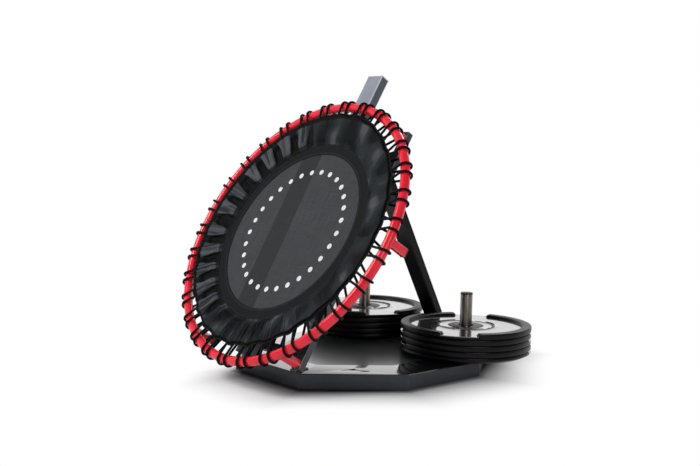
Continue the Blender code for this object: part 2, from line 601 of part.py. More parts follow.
for k in range(STRAP_COUNT):
    a = 2 * math.pi * k / STRAP_COUNT
    out, along = Vector((math.cos(a), math.sin(a))), Vector((-math.sin(a), math.cos(a)))
    sides = [along * t + Vector((0, RING_V)) for t in (-STRAP_W / 2, STRAP_W / 2)]
    loft(bm, [[(*(out * r + side), RING_W + MAT_W + w) for r, w in half + back] for side in sides])
cut(band, bm, "straps", tilt_axis, op="UNION")

# bungee lacing
# a path of straight steps cuts inside its arc, so its corners lie further out by the half step's cosine
CORD_FLAT = CORD_R * math.cos(math.pi / 4)
ARC_R = (TUBE_R + CORD_GAP + CORD_FLAT) / math.cos(math.radians(18.3))
TURN_R = (HOOP_WIRE + CORD_GAP + CORD_FLAT) / math.cos(math.radians(31))


def cord_path(first, wraps):
    "Points and their circle directions: hoop, over the tube's front, round it, back behind to the hoop."
    pts, dirs = [], []

    def add(rho, ang, w):
        pts.append(ring_xyz(rho, ang, w))
        dirs.append((-math.sin(ang), math.cos(ang), 0))
    pitch = 2 * math.pi / WRAP_PAIRS
    for k in range(wraps):
        i = first + k
        pair, second = divmod(i, 2)
        turn = pair * pitch + (0.75 if second else 0.25) * pitch
        cross = pair * pitch + 0.5 * pitch + (CORD_PAIR_HALF if second else -CORD_PAIR_HALF)
        for rho, w in half_round(TURN_R, (270, 210, 150, 90), HOOP_R, MAT_W):
            add(rho, turn, w)
        for rho, w in half_round(ARC_R, (96, 60, 24, -12, -48, -84, -110), RING_R):
            add(rho, cross, w)
    end = (first + wraps) * pitch / 2 + CORD_END_SHARE * pitch
    add(HOOP_R + CORD_END_OUT, end, MAT_W - TURN_R - CORD_END_DROP)
    return np.array(pts), np.array(dirs)


def least_gap(p, r, skip):
    "Least clear distance between parts of the path more than skip points apart."
    mids = []
    for a, b in zip(p, p[1:]):
        for t in (0, 0.25, 0.5, 0.75):
            mids.append(a + (b - a) * t)
    q = np.array(mids)
    best = 9.0
    for i in range(0, len(q) - 4 * skip):
        best = min(best, float(np.linalg.norm(q[i + 4 * skip:] - q[i], axis=1).min()))
    return best - 2 * r


WRAPS = 2 * WRAP_PAIRS // CORD_COUNT
for c in range(CORD_COUNT):
    p, dirs = cord_path(c * WRAPS, WRAPS)
    bm = bmesh.new()
    rings = []
    for i in range(len(p)):
        t = p[min(i + 1, len(p) - 1)] - p[max(i - 1, 0)]
        t /= np.linalg.norm(t)
        b = dirs[i] - t * np.dot(dirs[i], t)
        b /= np.linalg.norm(b)
        n = np.cross(t, b)
        rings.append([tuple(p[i] + b * x + n * y) for x, y in ngon(CORD_R, 4, turn=math.pi / 4)])
    loft(bm, rings)
    link("bungee_cord_%d" % (c + 1), bm, CORD, tilt_axis)
    clear = 1000 * least_gap(p, CORD_R, 5)
    print("bungee_cord_%d: %d wraps, least gap to itself %.1f mm" % (c + 1, WRAPS, clear))

# skirt: an annulus of cloth, gathered into radial folds, lying over the lacing


def strand_top(rho):
    "Height of the front strands' upper side."
    climb = (ARC_R - MAT_W - TURN_R) / (RING_R - HOOP_R - STRAND_SHORT)
    return MAT_W + TURN_R + max(0.0, rho - HOOP_R) * climb + CORD_R * STRAND_COVER


SKIRT_IN, SKIRT_OUT = HOOP_R - SKIRT_INSIDE, RING_R - SKIRT_OUTSIDE
bm = bmesh.new()
N = SKIRT_FOLDS * 3
steps = ((0.0, 0.0), (0.14, 0.5), (0.36, 1.0), (0.72, 1.0), (1.0, 0.35))
top, low = [], []
for f, amp in steps:
    rho = SKIRT_IN + (SKIRT_OUT - SKIRT_IN) * f
    if f == 0.0:
        base = MAT_W + LEG + BAND_T + GAP + SKIRT_T / 2
    elif f < 0.2:
        base = strand_top(HOOP_R) * 0.55 + SKIRT_T / 2 + SKIRT_STEP
    else:
        off = SKIRT_OFF_CORD + SKIRT_WAVE * amp + SKIRT_CROWN * math.sin(math.pi * f)
        base = strand_top(rho) + SKIRT_T / 2 + off
    tr, lr = [], []
    for i in range(N):
        a = START + 2 * math.pi * i / N
        w = base + SKIRT_WAVE * amp * math.sin(2 * math.pi * i / 3 + 0.5)
        tr.append(ring_xyz(rho, a, w + SKIRT_T / 2))
        lr.append(ring_xyz(rho, a, w - SKIRT_T / 2))
    top.append(tr)
    low.append(lr)
loft(bm, top + low[::-1], closed=True)
link("skirt", bm, CLOTH, tilt_axis, smooth=True)

# the origin lies on the floor under the middle of the whole machine
bpy.context.view_layer.update()
solids = [o for o in bpy.data.objects if o.type == "MESH" and not o.hide_render]
ys = [(o.matrix_world @ v.co).y for o in solids for v in o.data.vertices]
machine.location.y = -(min(ys) + max(ys)) / 2
print("moved back by %.4f m, collar pivot %.4f m up the spine" % (machine.location.y, COLLAR_V))
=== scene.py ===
# A round rebound mat on a weighted base, dressed for the camera.
# Metres, +Z up. The tilting face has its own axes: across, up the face, and out of it.
import bpy
import bmesh
import json
import math
import numpy as np
from mathutils import Matrix, Vector, noise

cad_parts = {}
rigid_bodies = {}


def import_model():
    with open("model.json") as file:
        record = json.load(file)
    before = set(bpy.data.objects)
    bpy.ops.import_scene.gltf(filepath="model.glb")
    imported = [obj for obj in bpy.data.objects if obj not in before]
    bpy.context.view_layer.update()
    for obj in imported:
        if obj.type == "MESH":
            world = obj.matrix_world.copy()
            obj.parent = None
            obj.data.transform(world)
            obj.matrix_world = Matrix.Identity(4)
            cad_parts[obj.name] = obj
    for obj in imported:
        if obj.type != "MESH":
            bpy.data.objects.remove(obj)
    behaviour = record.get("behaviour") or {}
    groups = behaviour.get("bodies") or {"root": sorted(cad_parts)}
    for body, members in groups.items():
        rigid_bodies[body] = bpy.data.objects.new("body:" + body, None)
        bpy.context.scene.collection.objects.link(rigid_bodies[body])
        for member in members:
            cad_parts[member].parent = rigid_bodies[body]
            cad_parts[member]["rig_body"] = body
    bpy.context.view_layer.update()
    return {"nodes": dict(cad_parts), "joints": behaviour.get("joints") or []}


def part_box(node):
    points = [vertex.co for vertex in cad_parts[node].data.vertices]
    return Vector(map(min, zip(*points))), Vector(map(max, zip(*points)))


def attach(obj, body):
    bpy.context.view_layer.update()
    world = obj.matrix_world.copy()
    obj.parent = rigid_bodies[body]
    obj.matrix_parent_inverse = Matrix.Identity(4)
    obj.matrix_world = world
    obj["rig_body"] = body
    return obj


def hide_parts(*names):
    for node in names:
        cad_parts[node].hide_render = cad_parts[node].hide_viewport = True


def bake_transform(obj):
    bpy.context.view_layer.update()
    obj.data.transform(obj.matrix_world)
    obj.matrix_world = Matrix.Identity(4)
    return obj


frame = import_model()

TILT = math.radians(58.7)                 # lean of the face at rest
RING_UP, RING_OUT = 0.3660, 0.1386        # ring centre from the hinge, up the face and out of it
RING_R, TUBE_R = 0.4636, 0.0150
HOOP_R, HOOP_WIRE = 0.3520, 0.0025
MAT_W, MAT_T, MAT_R = -0.0060, 0.0024, 0.3400     # cloth's middle from the ring's plane, thickness, radius
BAND_IN, BAND_WIDE, BAND_T = 0.2825, 0.0575, 0.0014
SKIRT_IN, SKIRT_OUT = 0.3210, 0.4160
CORD_R = 0.0040
PAIRS = 30                                # pairs of wraps round the ring
PITCH = 2 * math.pi / PAIRS
GAP = 0.0003                              # between pieces that lie on each other
BAND_W = MAT_W + MAT_T / 2 + GAP          # where the band lies on the mat

hinge = Vector(next(j for j in frame["joints"] if j["name"] == "frame_tilt")["pos_m"])
TURN = Matrix.Rotation(TILT, 4, "X")
RING_AT = hinge + TURN @ Vector((0, RING_UP, RING_OUT))
FACE = Matrix.Translation(RING_AT) @ TURN          # from the ring's own axes to the room

# Camera, at the photograph's viewing angle
PAN, NOD, ROLL = -0.8485, -0.0849, 0.0215
CAMERA_AT = Vector((2.5175, hinge.y - 1.8868, 0.7461))
LENS, FILM = 51.04, 36                    # millimetres


def camera():
    look = Vector((math.cos(NOD) * math.sin(PAN), math.cos(NOD) * math.cos(PAN), math.sin(NOD)))
    right = look.cross(Vector((0, 0, 1))).normalized()
    up = right.cross(look)
    x = math.cos(ROLL) * right + math.sin(ROLL) * up
    y = -math.sin(ROLL) * right + math.cos(ROLL) * up
    place = Matrix((x, y, -look)).transposed().to_4x4()
    place.translation = CAMERA_AT
    data = bpy.data.cameras.new("camera")
    data.lens, data.sensor_width = LENS, FILM
    cam = bpy.data.objects.new("camera", data)
    bpy.context.scene.collection.objects.link(cam)
    cam.matrix_world = place
    bpy.context.scene.camera = cam


camera()


# Node trees

def maths(operation):
    def apply(self, *others):
        return self.graph.node("ShaderNodeMath", {"operation": operation}, dict(enumerate((self, *others))))
    return apply


def flipped(operation):
    def apply(self, other):
        return self.graph.node("ShaderNodeMath", {"operation": operation}, {0: other, 1: self})
    return apply


class Wire:
    "An output socket; arithmetic on it adds Math nodes."

    def __init__(self, graph, socket):
        self.graph, self.socket = graph, socket

    __add__ = __radd__ = maths("ADD")
    __sub__, __rsub__ = maths("SUBTRACT"), flipped("SUBTRACT")
    __mul__ = __rmul__ = maths("MULTIPLY")
    __truediv__, __rtruediv__ = maths("DIVIDE"), flipped("DIVIDE")
    __mod__, __rmod__ = maths("FLOORED_MODULO"), flipped("FLOORED_MODULO")
    __lt__, __gt__ = maths("LESS_THAN"), maths("GREATER_THAN")
    sine, turn_of = maths("SINE"), maths("ARCTAN2")
    most, root = maths("MAXIMUM"), maths("SQRT")

    def ramp(self, low, high):
        "A soft step from 0 at low to 1 at high."
        return self.graph.node("ShaderNodeMapRange", {"interpolation_type": "SMOOTHSTEP"},
                               {"Value": self, "From Min": low, "From Max": high})

    def ribs(self, pitch):
        "Rounded ribs: 0 between them, 1 on top."
        return (self / pitch % 1 * math.pi).sine()


class Graph:
    "A node tree of a material, the world or a shape."

    def __init__(self, tree):
        self.tree = tree

    def node(self, kind, settings=None, sockets=None, out=0):
        n = self.tree.nodes.new(kind)
        for key, value in (settings or {}).items():
            setattr(n, key, value)
        for key, value in (sockets or {}).items():
            if isinstance(value, Wire):
                self.tree.links.new(value.socket, n.inputs[key])
            else:
                n.inputs[key].default_value = value
        return n if out is None else Wire(self, n.outputs[out])

    def place(self):
        return self.node("ShaderNodeTexCoord", out="Object")

    def noted(self, name, out="Fac"):
        "A value that the mesh carries at each point."
        return self.node("ShaderNodeAttribute", {"attribute_name": name}, out=out)

    def parts(self, vector):
        n = self.node("ShaderNodeSeparateXYZ", sockets={0: vector}, out=None)
        return [Wire(self, s) for s in n.outputs]

    def on_face(self):
        "Across, up and out, measured from the ring's centre."
        return self.node("ShaderNodeMapping", {"vector_type": "TEXTURE"},
                         {"Vector": self.place(), "Location": RING_AT, "Rotation": (TILT, 0, 0)})

    def round_face(self):
        "Radius and angle about the ring's centre."
        u, v, _ = self.parts(self.on_face())
        return (u * u + v * v).root(), v.turn_of(u)

    def stretch(self, vector, *scale):
        return self.node("ShaderNodeMapping", {}, {"Vector": vector, "Scale": scale})

    def cloud(self, vector, scale, detail=3.0):
        return self.node("ShaderNodeTexNoise", {},
                         {"Vector": vector, "Scale": scale, "Detail": detail, "Roughness": 0.55})

    def cells(self, vector, scale):
        return self.node("ShaderNodeTexVoronoi", {}, {"Vector": vector, "Scale": scale})

    def paint(self, factor, a, b):
        return self.node("ShaderNodeMix", {"data_type": "RGBA"}, {0: factor, 6: a, 7: b}, out=2)

    def relief(self, height, distance, strength, under=None):
        sockets = {"Height": height, "Distance": distance, "Strength": strength}
        if under is not None:
            sockets["Normal"] = under
        return self.node("ShaderNodeBump", {}, sockets)


def tint(r, g, b):
    "A colour as it looks on a screen, 0 to 255, made linear."
    linear = []
    for share in (r / 255, g / 255, b / 255):
        linear.append(share / 12.92 if share < 0.0404 else ((share + 0.055) / 1.055) ** 2.4)
    return (*linear, 1.0)


def new_material(name):
    m = bpy.data.materials.new(name)
    m.use_nodes = True
    g = Graph(m.node_tree)
    g.tree.nodes.clear()
    return m, g


def finish(name, vary, **fixed):
    "A material: vary(graph) gives the sockets that change over the surface, fixed the rest."
    m, g = new_material(name)
    sockets = {key.replace("_", " "): value for key, value in fixed.items()}
    shader = g.node("ShaderNodeBsdfPrincipled", {}, {**sockets, **vary(g)})
    g.node("ShaderNodeOutputMaterial", {}, {"Surface": shader}, out=None)
    return m


# Finishes. Clouds and cells are given by how many there are to a metre, reliefs by their depth.

def powder_coat(name, dark, light, rough, worn=0.0, grain=900, **fixed):
    "Stoved paint: a fine orange peel, faint clouds and rubbed edges."
    def vary(g):
        p = g.place()
        broad, fine = g.cloud(p, 7, 4), g.cloud(p, grain, 2)
        rub = (g.cloud(p, 60, 5) * 1.6 - 0.45).ramp(0.2, 0.7) * worn
        colour = g.paint(broad.ramp(0.3, 0.7), dark, light)
        return {"Base Color": g.paint(rub, colour, tint(120, 121, 124)),
                "Roughness": rough + (broad - 0.5) * 0.12 + rub * 0.12 + (fine - 0.5) * 0.06,
                "Normal": g.relief(fine, 0.00006, 0.6)}
    return finish(name, vary, **fixed)


SATIN = {"Specular_IOR_Level": 0.3, "Coat_Weight": 0.2, "Coat_Roughness": 0.15}

deck_coat = powder_coat("deck coat", tint(27, 29, 32), tint(36, 38, 42), 0.07,
                        Specular_IOR_Level=1.0, Coat_Weight=1.0, Coat_Roughness=0.03, Coat_IOR=2.0)
deck_middle = powder_coat("deck coat in the middle", tint(40, 42, 45), tint(52, 54, 57), 0.34,
                          Specular_IOR_Level=0.5, Coat_Weight=0.8, Coat_Roughness=0.16, Coat_IOR=1.6)
# Painted highlight: lighter on the deck's folds and rolled edges; the rubbed patches are wear.
deck_fold_painted_highlight = powder_coat("deck coat at the folds", tint(46, 49, 53), tint(66, 69, 73), 0.26, 0.25,
                        Metallic=0.2, Coat_Weight=1.0, Coat_Roughness=0.05, Coat_IOR=1.75)
# Painted light: the deck's upright sides are a lighter copy of its coat.
deck_side_painted_light = powder_coat("deck coat on the sides", tint(52, 57, 63), tint(61, 66, 73), 0.42, 0.02,
                        Metallic=0.1, Specular_IOR_Level=0.2, Coat_Weight=0.08, Coat_Roughness=0.2)
black_coat = powder_coat("black coat", tint(5, 6, 8), tint(10, 11, 13), 0.42,
                         Specular_IOR_Level=0.15, Coat_Weight=0.04, Coat_Roughness=0.2)
black_edge = powder_coat("black coat at the edges", tint(16, 17, 20), tint(28, 29, 32), 0.34, 0.3,
                         Metallic=0.1, Specular_IOR_Level=0.35, Coat_Weight=0.2, Coat_Roughness=0.15)
grey_coat = powder_coat("grey coat", tint(143, 151, 164), tint(157, 166, 179), 0.36,
                        Metallic=0.25, **SATIN)
# Painted shade: the spine's two sides are a darker copy of its grey coat.
grey_side_painted_shade = powder_coat("grey coat on the sides", tint(100, 106, 115), tint(112, 118, 128), 0.36,
                        Metallic=0.25, **SATIN)
# Painted highlight: near white on the rolled edges of the spine; the rubbed patches are wear.
grey_edge_painted_highlight = powder_coat("grey coat at the edges", tint(212, 217, 224), tint(232, 236, 242), 0.28, 0.1,
                        Metallic=0.3, Coat_Weight=0.5, Coat_Roughness=0.12)
rail_coat = powder_coat("dark grey coat", tint(62, 65, 72), tint(76, 79, 87), 0.38,
                        Metallic=0.2, **SATIN)
rail_edge = powder_coat("dark grey coat at the edges", tint(104, 108, 116), tint(128, 132, 140), 0.28, 0.3,
                        Metallic=0.3, Coat_Weight=0.4, Coat_Roughness=0.12)
red_edge = powder_coat("red paint at the edges", tint(222, 36, 54), tint(240, 60, 76), 0.2, 0.12, 700,
                       Coat_Weight=0.8, Coat_Roughness=0.08)


def red_gloss():
    "Gloss paint on bent tube: mottled, with small scuffs."
    def vary(g):
        p = g.place()
        broad, mottle, fine = g.cloud(p, 9), g.cloud(p, 120, 4), g.cloud(p, 700, 2)
        scuff = (g.cloud(g.stretch(p, 1, 1, 4), 240) * g.cloud(p, 34, 2)).ramp(0.34, 0.46)
        colour = g.paint(broad.ramp(0.3, 0.7), tint(246, 30, 52), tint(254, 46, 70))
        colour = g.paint(mottle.ramp(0.35, 0.7) * 0.25, colour, tint(206, 16, 34))
        return {"Base Color": g.paint(scuff * 0.25, colour, tint(140, 14, 24)),
                "Roughness": 0.2 + mottle * 0.16 + scuff * 0.2,
                "Normal": g.relief(mottle * 0.7 + fine * 0.3, 0.00015, 0.5)}
    return finish("red gloss paint", vary, Specular_IOR_Level=0.15, Coat_Weight=0.45, Coat_Roughness=0.06)


def brushed_steel():
    "Bare tube, brushed along its length and handled dark in places."
    def vary(g):
        p = g.place()
        line = g.cloud(g.stretch(p, 1, 1, 0.02), 1100)
        turned = g.cloud(g.stretch(p, 0.05, 0.05, 1), 900, 2)
        stain = g.cloud(g.stretch(p, 1, 1, 0.35), 40, 4)
        colour = g.paint(line, tint(112, 103, 95), tint(168, 160, 152))
        return {"Base Color": g.paint(stain.ramp(0.42, 0.7) * 0.6, colour, tint(84, 76, 70)),
                "Roughness": 0.22 + line * 0.12 + stain * 0.1,
                "Normal": g.relief(line * 0.6 + turned * 0.4, 0.00005, 0.5)}
    return finish("brushed steel", vary, Metallic=1.0)


def zinc_plate():
    "Plated steel: small crystals, and grime in patches."
    def vary(g):
        p = g.place()
        flake, grime = g.cells(p, 900), g.cloud(p, 160, 4)
        return {"Base Color": g.paint(grime.ramp(0.4, 0.75) * 0.7, tint(178, 178, 172), tint(104, 102, 96)),
                "Roughness": 0.28 + flake * 0.2 + grime * 0.12,
                "Normal": g.relief(flake, 0.00004, 0.4)}
    return finish("zinc plate", vary, Metallic=1.0)


def moulded_rubber(name, dark, light, rough, dust):
    "Black rubber with a fine grit and specks of dust."
    def vary(g):
        p = g.place()
        grit, broad, fleck = g.cloud(p, 1400), g.cloud(p, 14, 4), g.cells(p, 420)
        dusty = (fleck < 0.16) * g.cloud(p, 90, 2).ramp(0.5, 0.7) * dust
        colour = g.paint(broad.ramp(0.3, 0.75), dark, light)
        return {"Base Color": g.paint(dusty, colour, tint(96, 96, 96)),
                "Roughness": rough + (broad - 0.5) * 0.2 + (grit - 0.5) * 0.12,
                "Normal": g.relief(grit, 0.00012, 0.6)}
    return finish(name, vary, Specular_IOR_Level=0.16)


def plate_face():
    "The smooth enamelled web of a weight plate, with wiped smears."
    def vary(g):
        p = g.place()
        smear, broad, fine = g.cloud(g.stretch(p, 1, 3, 1), 26, 4), g.cloud(p, 6), g.cloud(p, 900, 2)
        return {"Base Color": g.paint(broad.ramp(0.3, 0.7), tint(96, 96, 100), tint(116, 116, 120)),
                "Roughness": 0.10 + smear.ramp(0.35, 0.8) * 0.09 + fine * 0.03,
                "Normal": g.relief(fine * 0.5 + smear * 0.5, 0.00006, 0.35)}
    return finish("plate face", vary, Metallic=0.6, Coat_Weight=1.0, Coat_Roughness=0.04, Coat_IOR=1.7)


# Mat cloth: a plain weave, with a painted shadow of the spine up it, a little off its middle
STRAND = 0.0017
SPINE_SHADOW_FROM = -0.05                         # height on the face where the painted shadow's sides are measured
SPINE_SHADOW_LEFT, SPINE_SHADOW_LEFT_LEAN = 0.1, 0.040    # how far left of the middle each side is, and its lean
SPINE_SHADOW_RIGHT, SPINE_SHADOW_RIGHT_LEAN = 0.0085, 0.0475
SPINE_SHADOW_SOFT = 0.002


def painted_spine_shadow(u, v):
    """1 in the painted shadow of the spine, 0 beside it."""
    up = v - SPINE_SHADOW_FROM
    past_left = (u + SPINE_SHADOW_LEFT + up * SPINE_SHADOW_LEFT_LEAN).ramp(-SPINE_SHADOW_SOFT, SPINE_SHADOW_SOFT)
    past_right = (u + SPINE_SHADOW_RIGHT + up * SPINE_SHADOW_RIGHT_LEAN).ramp(-SPINE_SHADOW_SOFT, SPINE_SHADOW_SOFT)
    return past_left * (1 - past_right)


def mat_weave(name, printed=False):
    "Strands go over and under in turn; the print is the same weave in white."
    def vary(g):
        flat = g.on_face()
        u, v, _ = g.parts(flat)
        i, j = u / STRAND, v / STRAND
        over = ((i - i % 1) + (j - j % 1)) % 2
        height = over * u.ribs(STRAND) + (1 - over) * v.ribs(STRAND)
        fibre_up = g.cloud(g.stretch(flat, 1, 0.06, 1), 700, 2)
        fibre_across = g.cloud(g.stretch(flat, 0.06, 1, 1), 700, 2)
        strand = fibre_up * over + fibre_across * (1 - over)
        if printed:
            inked = (height * 0.7 + strand * 0.5).ramp(0.35, 0.75)
            colour = g.paint(inked, tint(188, 190, 192), tint(250, 250, 250))
        else:
            streak_up = g.cloud(g.stretch(flat, 1, 0.03, 1), 420)
            streak_across = g.cloud(g.stretch(flat, 0.03, 1, 1), 420)
            streaks = (streak_up * 1.2 + streak_across * 0.8 - 1) * 1.3
            lit = (height * 0.5 + strand * 0.5 + streaks).ramp(0.1, 0.95)
            colour = g.paint(lit, tint(33, 35, 38), tint(66, 69, 73))
            colour = g.paint(g.cloud(flat, 5).ramp(0.35, 0.7) * 0.4, colour, tint(51, 54, 57))
            # Painted shadow: the spine's shadow on the mat, painted as the same weave in darker colours.
            in_spine_shadow = g.paint(lit, tint(21, 25, 28), tint(36, 40, 43))
            colour = g.paint(painted_spine_shadow(u, v), colour, in_spine_shadow)
        return {"Base Color": colour, "Roughness": 0.62 + (strand - 0.5) * 0.2,
                "Normal": g.relief(height + strand * 0.25, 0.00025, 0.7)}
    return finish(name, vary, Specular_IOR_Level=0.2, Sheen_Weight=0.03, Sheen_Roughness=0.5)


def band_webbing():
    "Nylon tape laid in a ring: fine ribs along it."
    def vary(g):
        radius, angle = g.round_face()
        rib, tick = radius.ribs(0.0016), (angle * 0.3).ribs(0.0022)
        worn = g.cloud(g.place(), 18, 4).ramp(0.45, 0.75) * 0.5
        colour = g.paint((rib * 0.6 + tick * 0.4) * 0.8, tint(11, 12, 13), tint(25, 26, 28))
        return {"Base Color": g.paint(worn, colour, tint(27, 28, 28)), "Roughness": 0.55 + rib * 0.15,
                "Normal": g.relief(rib * 0.7 + tick * 0.3, 0.0002, 0.6)}
    return finish("band webbing", vary, Specular_IOR_Level=0.08, Sheen_Weight=0.02, Sheen_Roughness=0.4)


def skirt_nylon():
    "Thin coated nylon, paler where folds stand up, dark in the pleats and at the hem's casing."
    def vary(g):
        radius, angle = g.round_face()
        thread = radius.ribs(0.0011) * 0.5 + (angle * 0.37).ribs(0.0011) * 0.5
        fold_light_and_shade, casing_shade = g.noted("fold_light_and_shade"), g.noted("casing_shade")
        p = g.place()
        crumple, broad = g.cloud(p, 42, 4), g.cloud(p, 9)
        colour = g.paint(broad.ramp(0.3, 0.7), tint(32, 36, 39), tint(41, 45, 49))
        # Painted light on standing folds, painted shade in the pleats.
        colour = g.paint(fold_light_and_shade.ramp(0.60, 0.84) * (0.4 + crumple * 0.9), colour, tint(84, 86, 89))
        colour = g.paint((1 - fold_light_and_shade).ramp(0.42, 0.72), colour, tint(12, 13, 14))
        # Painted shade: near black on the hem's casing, where it turns away from the light.
        return {"Base Color": g.paint(casing_shade, colour, tint(4, 4, 5)), "Roughness": 0.52 - crumple * 0.1,
                "Normal": g.relief(crumple, 0.0011, 0.6, g.relief(thread, 0.00008, 0.5))}
    return finish("skirt nylon", vary, Specular_IOR_Level=0.04)


def braided_cord(name, dark, light, strands, pitch):
    "A braided sheath, wound both ways round a rubber core."
    def vary(g):
        x, y, _ = g.parts(g.noted("turn", "Vector"))
        around = y.turn_of(x) / (2 * math.pi) * strands
        along = g.noted("along") / pitch * strands / 4
        braid = (around + along).ribs(1).most((around - along).ribs(1))
        p = g.place()
        fuzz, broad = g.cloud(p, 1500, 2), g.cloud(p, 30)
        colour = g.paint(braid.ramp(0.6, 1.0), dark, light)
        return {"Base Color": g.paint(broad.ramp(0.4, 0.7) * 0.4, colour, dark),
                "Roughness": 0.62 + fuzz * 0.2, "Normal": g.relief(braid + fuzz * 0.3, 0.0004, 0.6)}
    return finish(name, vary, Specular_IOR_Level=0.1, Sheen_Weight=0.02, Sheen_Roughness=0.5)


def moulded_plastic():
    "Black plastic from a grained mould."
    def vary(g):
        p = g.place()
        grain, broad = g.cells(p, 1100), g.cloud(p, 20)
        return {"Base Color": g.paint(broad.ramp(0.3, 0.7), tint(24, 24, 26), tint(36, 36, 39)),
                "Roughness": 0.4 + grain * 0.25, "Normal": g.relief(grain, 0.0001, 0.5)}
    return finish("moulded plastic", vary)


def sewing_thread():
    "Twisted black thread."
    def vary(g):
        twist = g.cloud(g.place(), 2400, 2)
        return {"Base Color": g.paint(twist, tint(16, 16, 17), tint(52, 53, 56)),
                "Roughness": 0.5 + twist * 0.3, "Normal": g.relief(twist, 0.0001, 0.6)}
    return finish("sewing thread", vary)


red_paint, steel, zinc = red_gloss(), brushed_steel(), zinc_plate()
rubber = moulded_rubber("foot rubber", tint(14, 14, 15), tint(22, 22, 23), 0.7, 0.25)
bead_rubber = moulded_rubber("plate rubber", tint(6, 6, 7), tint(11, 11, 12), 0.36, 0.15)
web_face, mat_cloth, print_white = plate_face(), mat_weave("mat weave"), mat_weave("white print", True)
webbing, nylon, thread, plastic = band_webbing(), skirt_nylon(), sewing_thread(), moulded_plastic()
cord_sheath = braided_cord("cord sheath", tint(6, 6, 7), tint(22, 22, 23), 8, 0.011)
hem_sheath = braided_cord("hem roll", tint(12, 13, 14), tint(28, 29, 31), 5, 0.016)


# Shapes

def put(name, mesh):
    o = bpy.data.objects.new(name, mesh)
    bpy.context.scene.collection.objects.link(o)
    return o


def piece(name, mesh, body, slot, stands_for=(), place=None):
    """Put a finished mesh in the room; it rides on its body, or on none."""
    if place is not None:
        mesh.transform(place)
    o = put(name, mesh)
    if body:
        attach(o, body)
    if stands_for:
        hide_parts(*stands_for)
    return o


def on_circle(r, angle, w=0.0):
    return (r * math.cos(angle), r * math.sin(angle), w)


def even(n):
    "Angles evenly round a circle."
    return [2 * math.pi * i / n for i in range(n)]


def arc(cx, cy, r, first, last, steps):
    "Points along an arc, in degrees."
    turns = [math.radians(first + (last - first) * i / steps) for i in range(steps + 1)]
    return [(cx + r * math.cos(a), cy + r * math.sin(a)) for a in turns]


def skin(name, rings, finishes, around=True, joined=False, pick=None):
    "A mesh from rings of points; around closes each ring, joined ties last to first, or ends are capped."
    rings = np.asarray(rings, float)
    n, m, _ = rings.shape
    loops = list(range(n)) + ([0] if joined else [])
    faces = []
    for i, j in zip(loops, loops[1:]):
        for k in range(m if around else m - 1):
            after = (k + 1) % m
            faces.append((i * m + k, i * m + after, j * m + after, j * m + k))
    if not joined:
        faces += [tuple(range(m))[::-1], tuple((n - 1) * m + k for k in range(m))]
    me = bpy.data.meshes.new(name)
    me.from_pydata(rings.reshape(-1, 3).tolist(), [], faces)
    for f in finishes:
        me.materials.append(f)
    if pick is not None:
        me.polygons.foreach_set("material_index", [pick(Vector(p.center)) for p in me.polygons])
    me.shade_smooth()
    me.set_sharp_from_angle(angle=math.radians(38))
    return me


def outward(me):
    "Turn all faces of a closed mesh to the outside."
    bm = bmesh.new()
    bm.from_mesh(me)
    bmesh.ops.recalc_face_normals(bm, faces=bm.faces)
    bm.to_mesh(me)
    bm.free()
    return me


def turned(name, outline, finishes, at=(0, 0), sides=64):
    "A solid turned about a vertical axis, from an outline of (radius, height)."
    rings = []
    for a in even(sides):
        rings.append([(at[0] + r * math.cos(a), at[1] + r * math.sin(a), z) for r, z in outline])
    return outward(skin(name, rings, finishes, joined=True))


def line(name, points, closed=False):
    me = bpy.data.meshes.new(name)
    n = len(points)
    edges = [(i, (i + 1) % n) for i in range(n if closed else n - 1)]
    me.from_pydata([tuple(p) for p in points], edges, [])
    return me


def circle(name, r, n, w=0.0):
    return line(name, [on_circle(r, a, w) for a in even(n)], True)


# Shape trees

def shape_tree(name, inputs):
    tree = bpy.data.node_groups.new(name, "GeometryNodeTree")
    tree.interface.new_socket("Geometry", in_out="INPUT", socket_type="NodeSocketGeometry")
    for label, (kind, value) in inputs.items():
        s = tree.interface.new_socket(label, in_out="INPUT", socket_type="NodeSocket" + kind)
        if value is not None:
            s.default_value = value
    tree.interface.new_socket("Geometry", in_out="OUTPUT", socket_type="NodeSocketGeometry")
    g = Graph(tree)
    start = g.node("NodeGroupInput", out=None)
    return g, {s.name: Wire(g, s) for s in start.outputs if s.name}


def close_tree(g, shape, finish_in):
    real = g.node("GeometryNodeRealizeInstances", {}, {0: shape})
    dressed = g.node("GeometryNodeSetMaterial", {}, {"Geometry": real, "Material": finish_in})
    g.node("NodeGroupOutput", {}, {0: dressed}, out=None)
    return g.tree


def note(g, shape, kind, name, value):
    "Store a value at each point of a shape."
    return g.node("GeometryNodeStoreNamedAttribute", {"data_type": kind, "domain": "POINT"},
                  {"Geometry": shape, "Name": name, "Value": value})


def tube_tree():
    "A round tube along a line; it notes how far along and which way round each point is."
    g, ins = shape_tree("tube along a line", {"Radius": ("Float", 0.004), "Sides": ("Int", 12),
                                              "Finish": ("Material", None)})
    run = g.node("GeometryNodeMeshToCurve", {}, {"Mesh": ins["Geometry"]})
    run = note(g, run, "FLOAT", "along", g.node("GeometryNodeSplineParameter", out="Length"))
    ring = g.node("GeometryNodeCurvePrimitiveCircle", {},
                  {"Resolution": ins["Sides"], "Radius": ins["Radius"]})
    ring = note(g, ring, "FLOAT_VECTOR", "turn", g.node("GeometryNodeInputPosition"))
    tube = g.node("GeometryNodeCurveToMesh", {}, {"Curve": run, "Profile Curve": ring, "Fill Caps": True})
    tube = g.node("GeometryNodeSetShadeSmooth", {}, {"Geometry": tube, "Shade Smooth": True})
    return close_tree(g, tube, ins["Finish"])


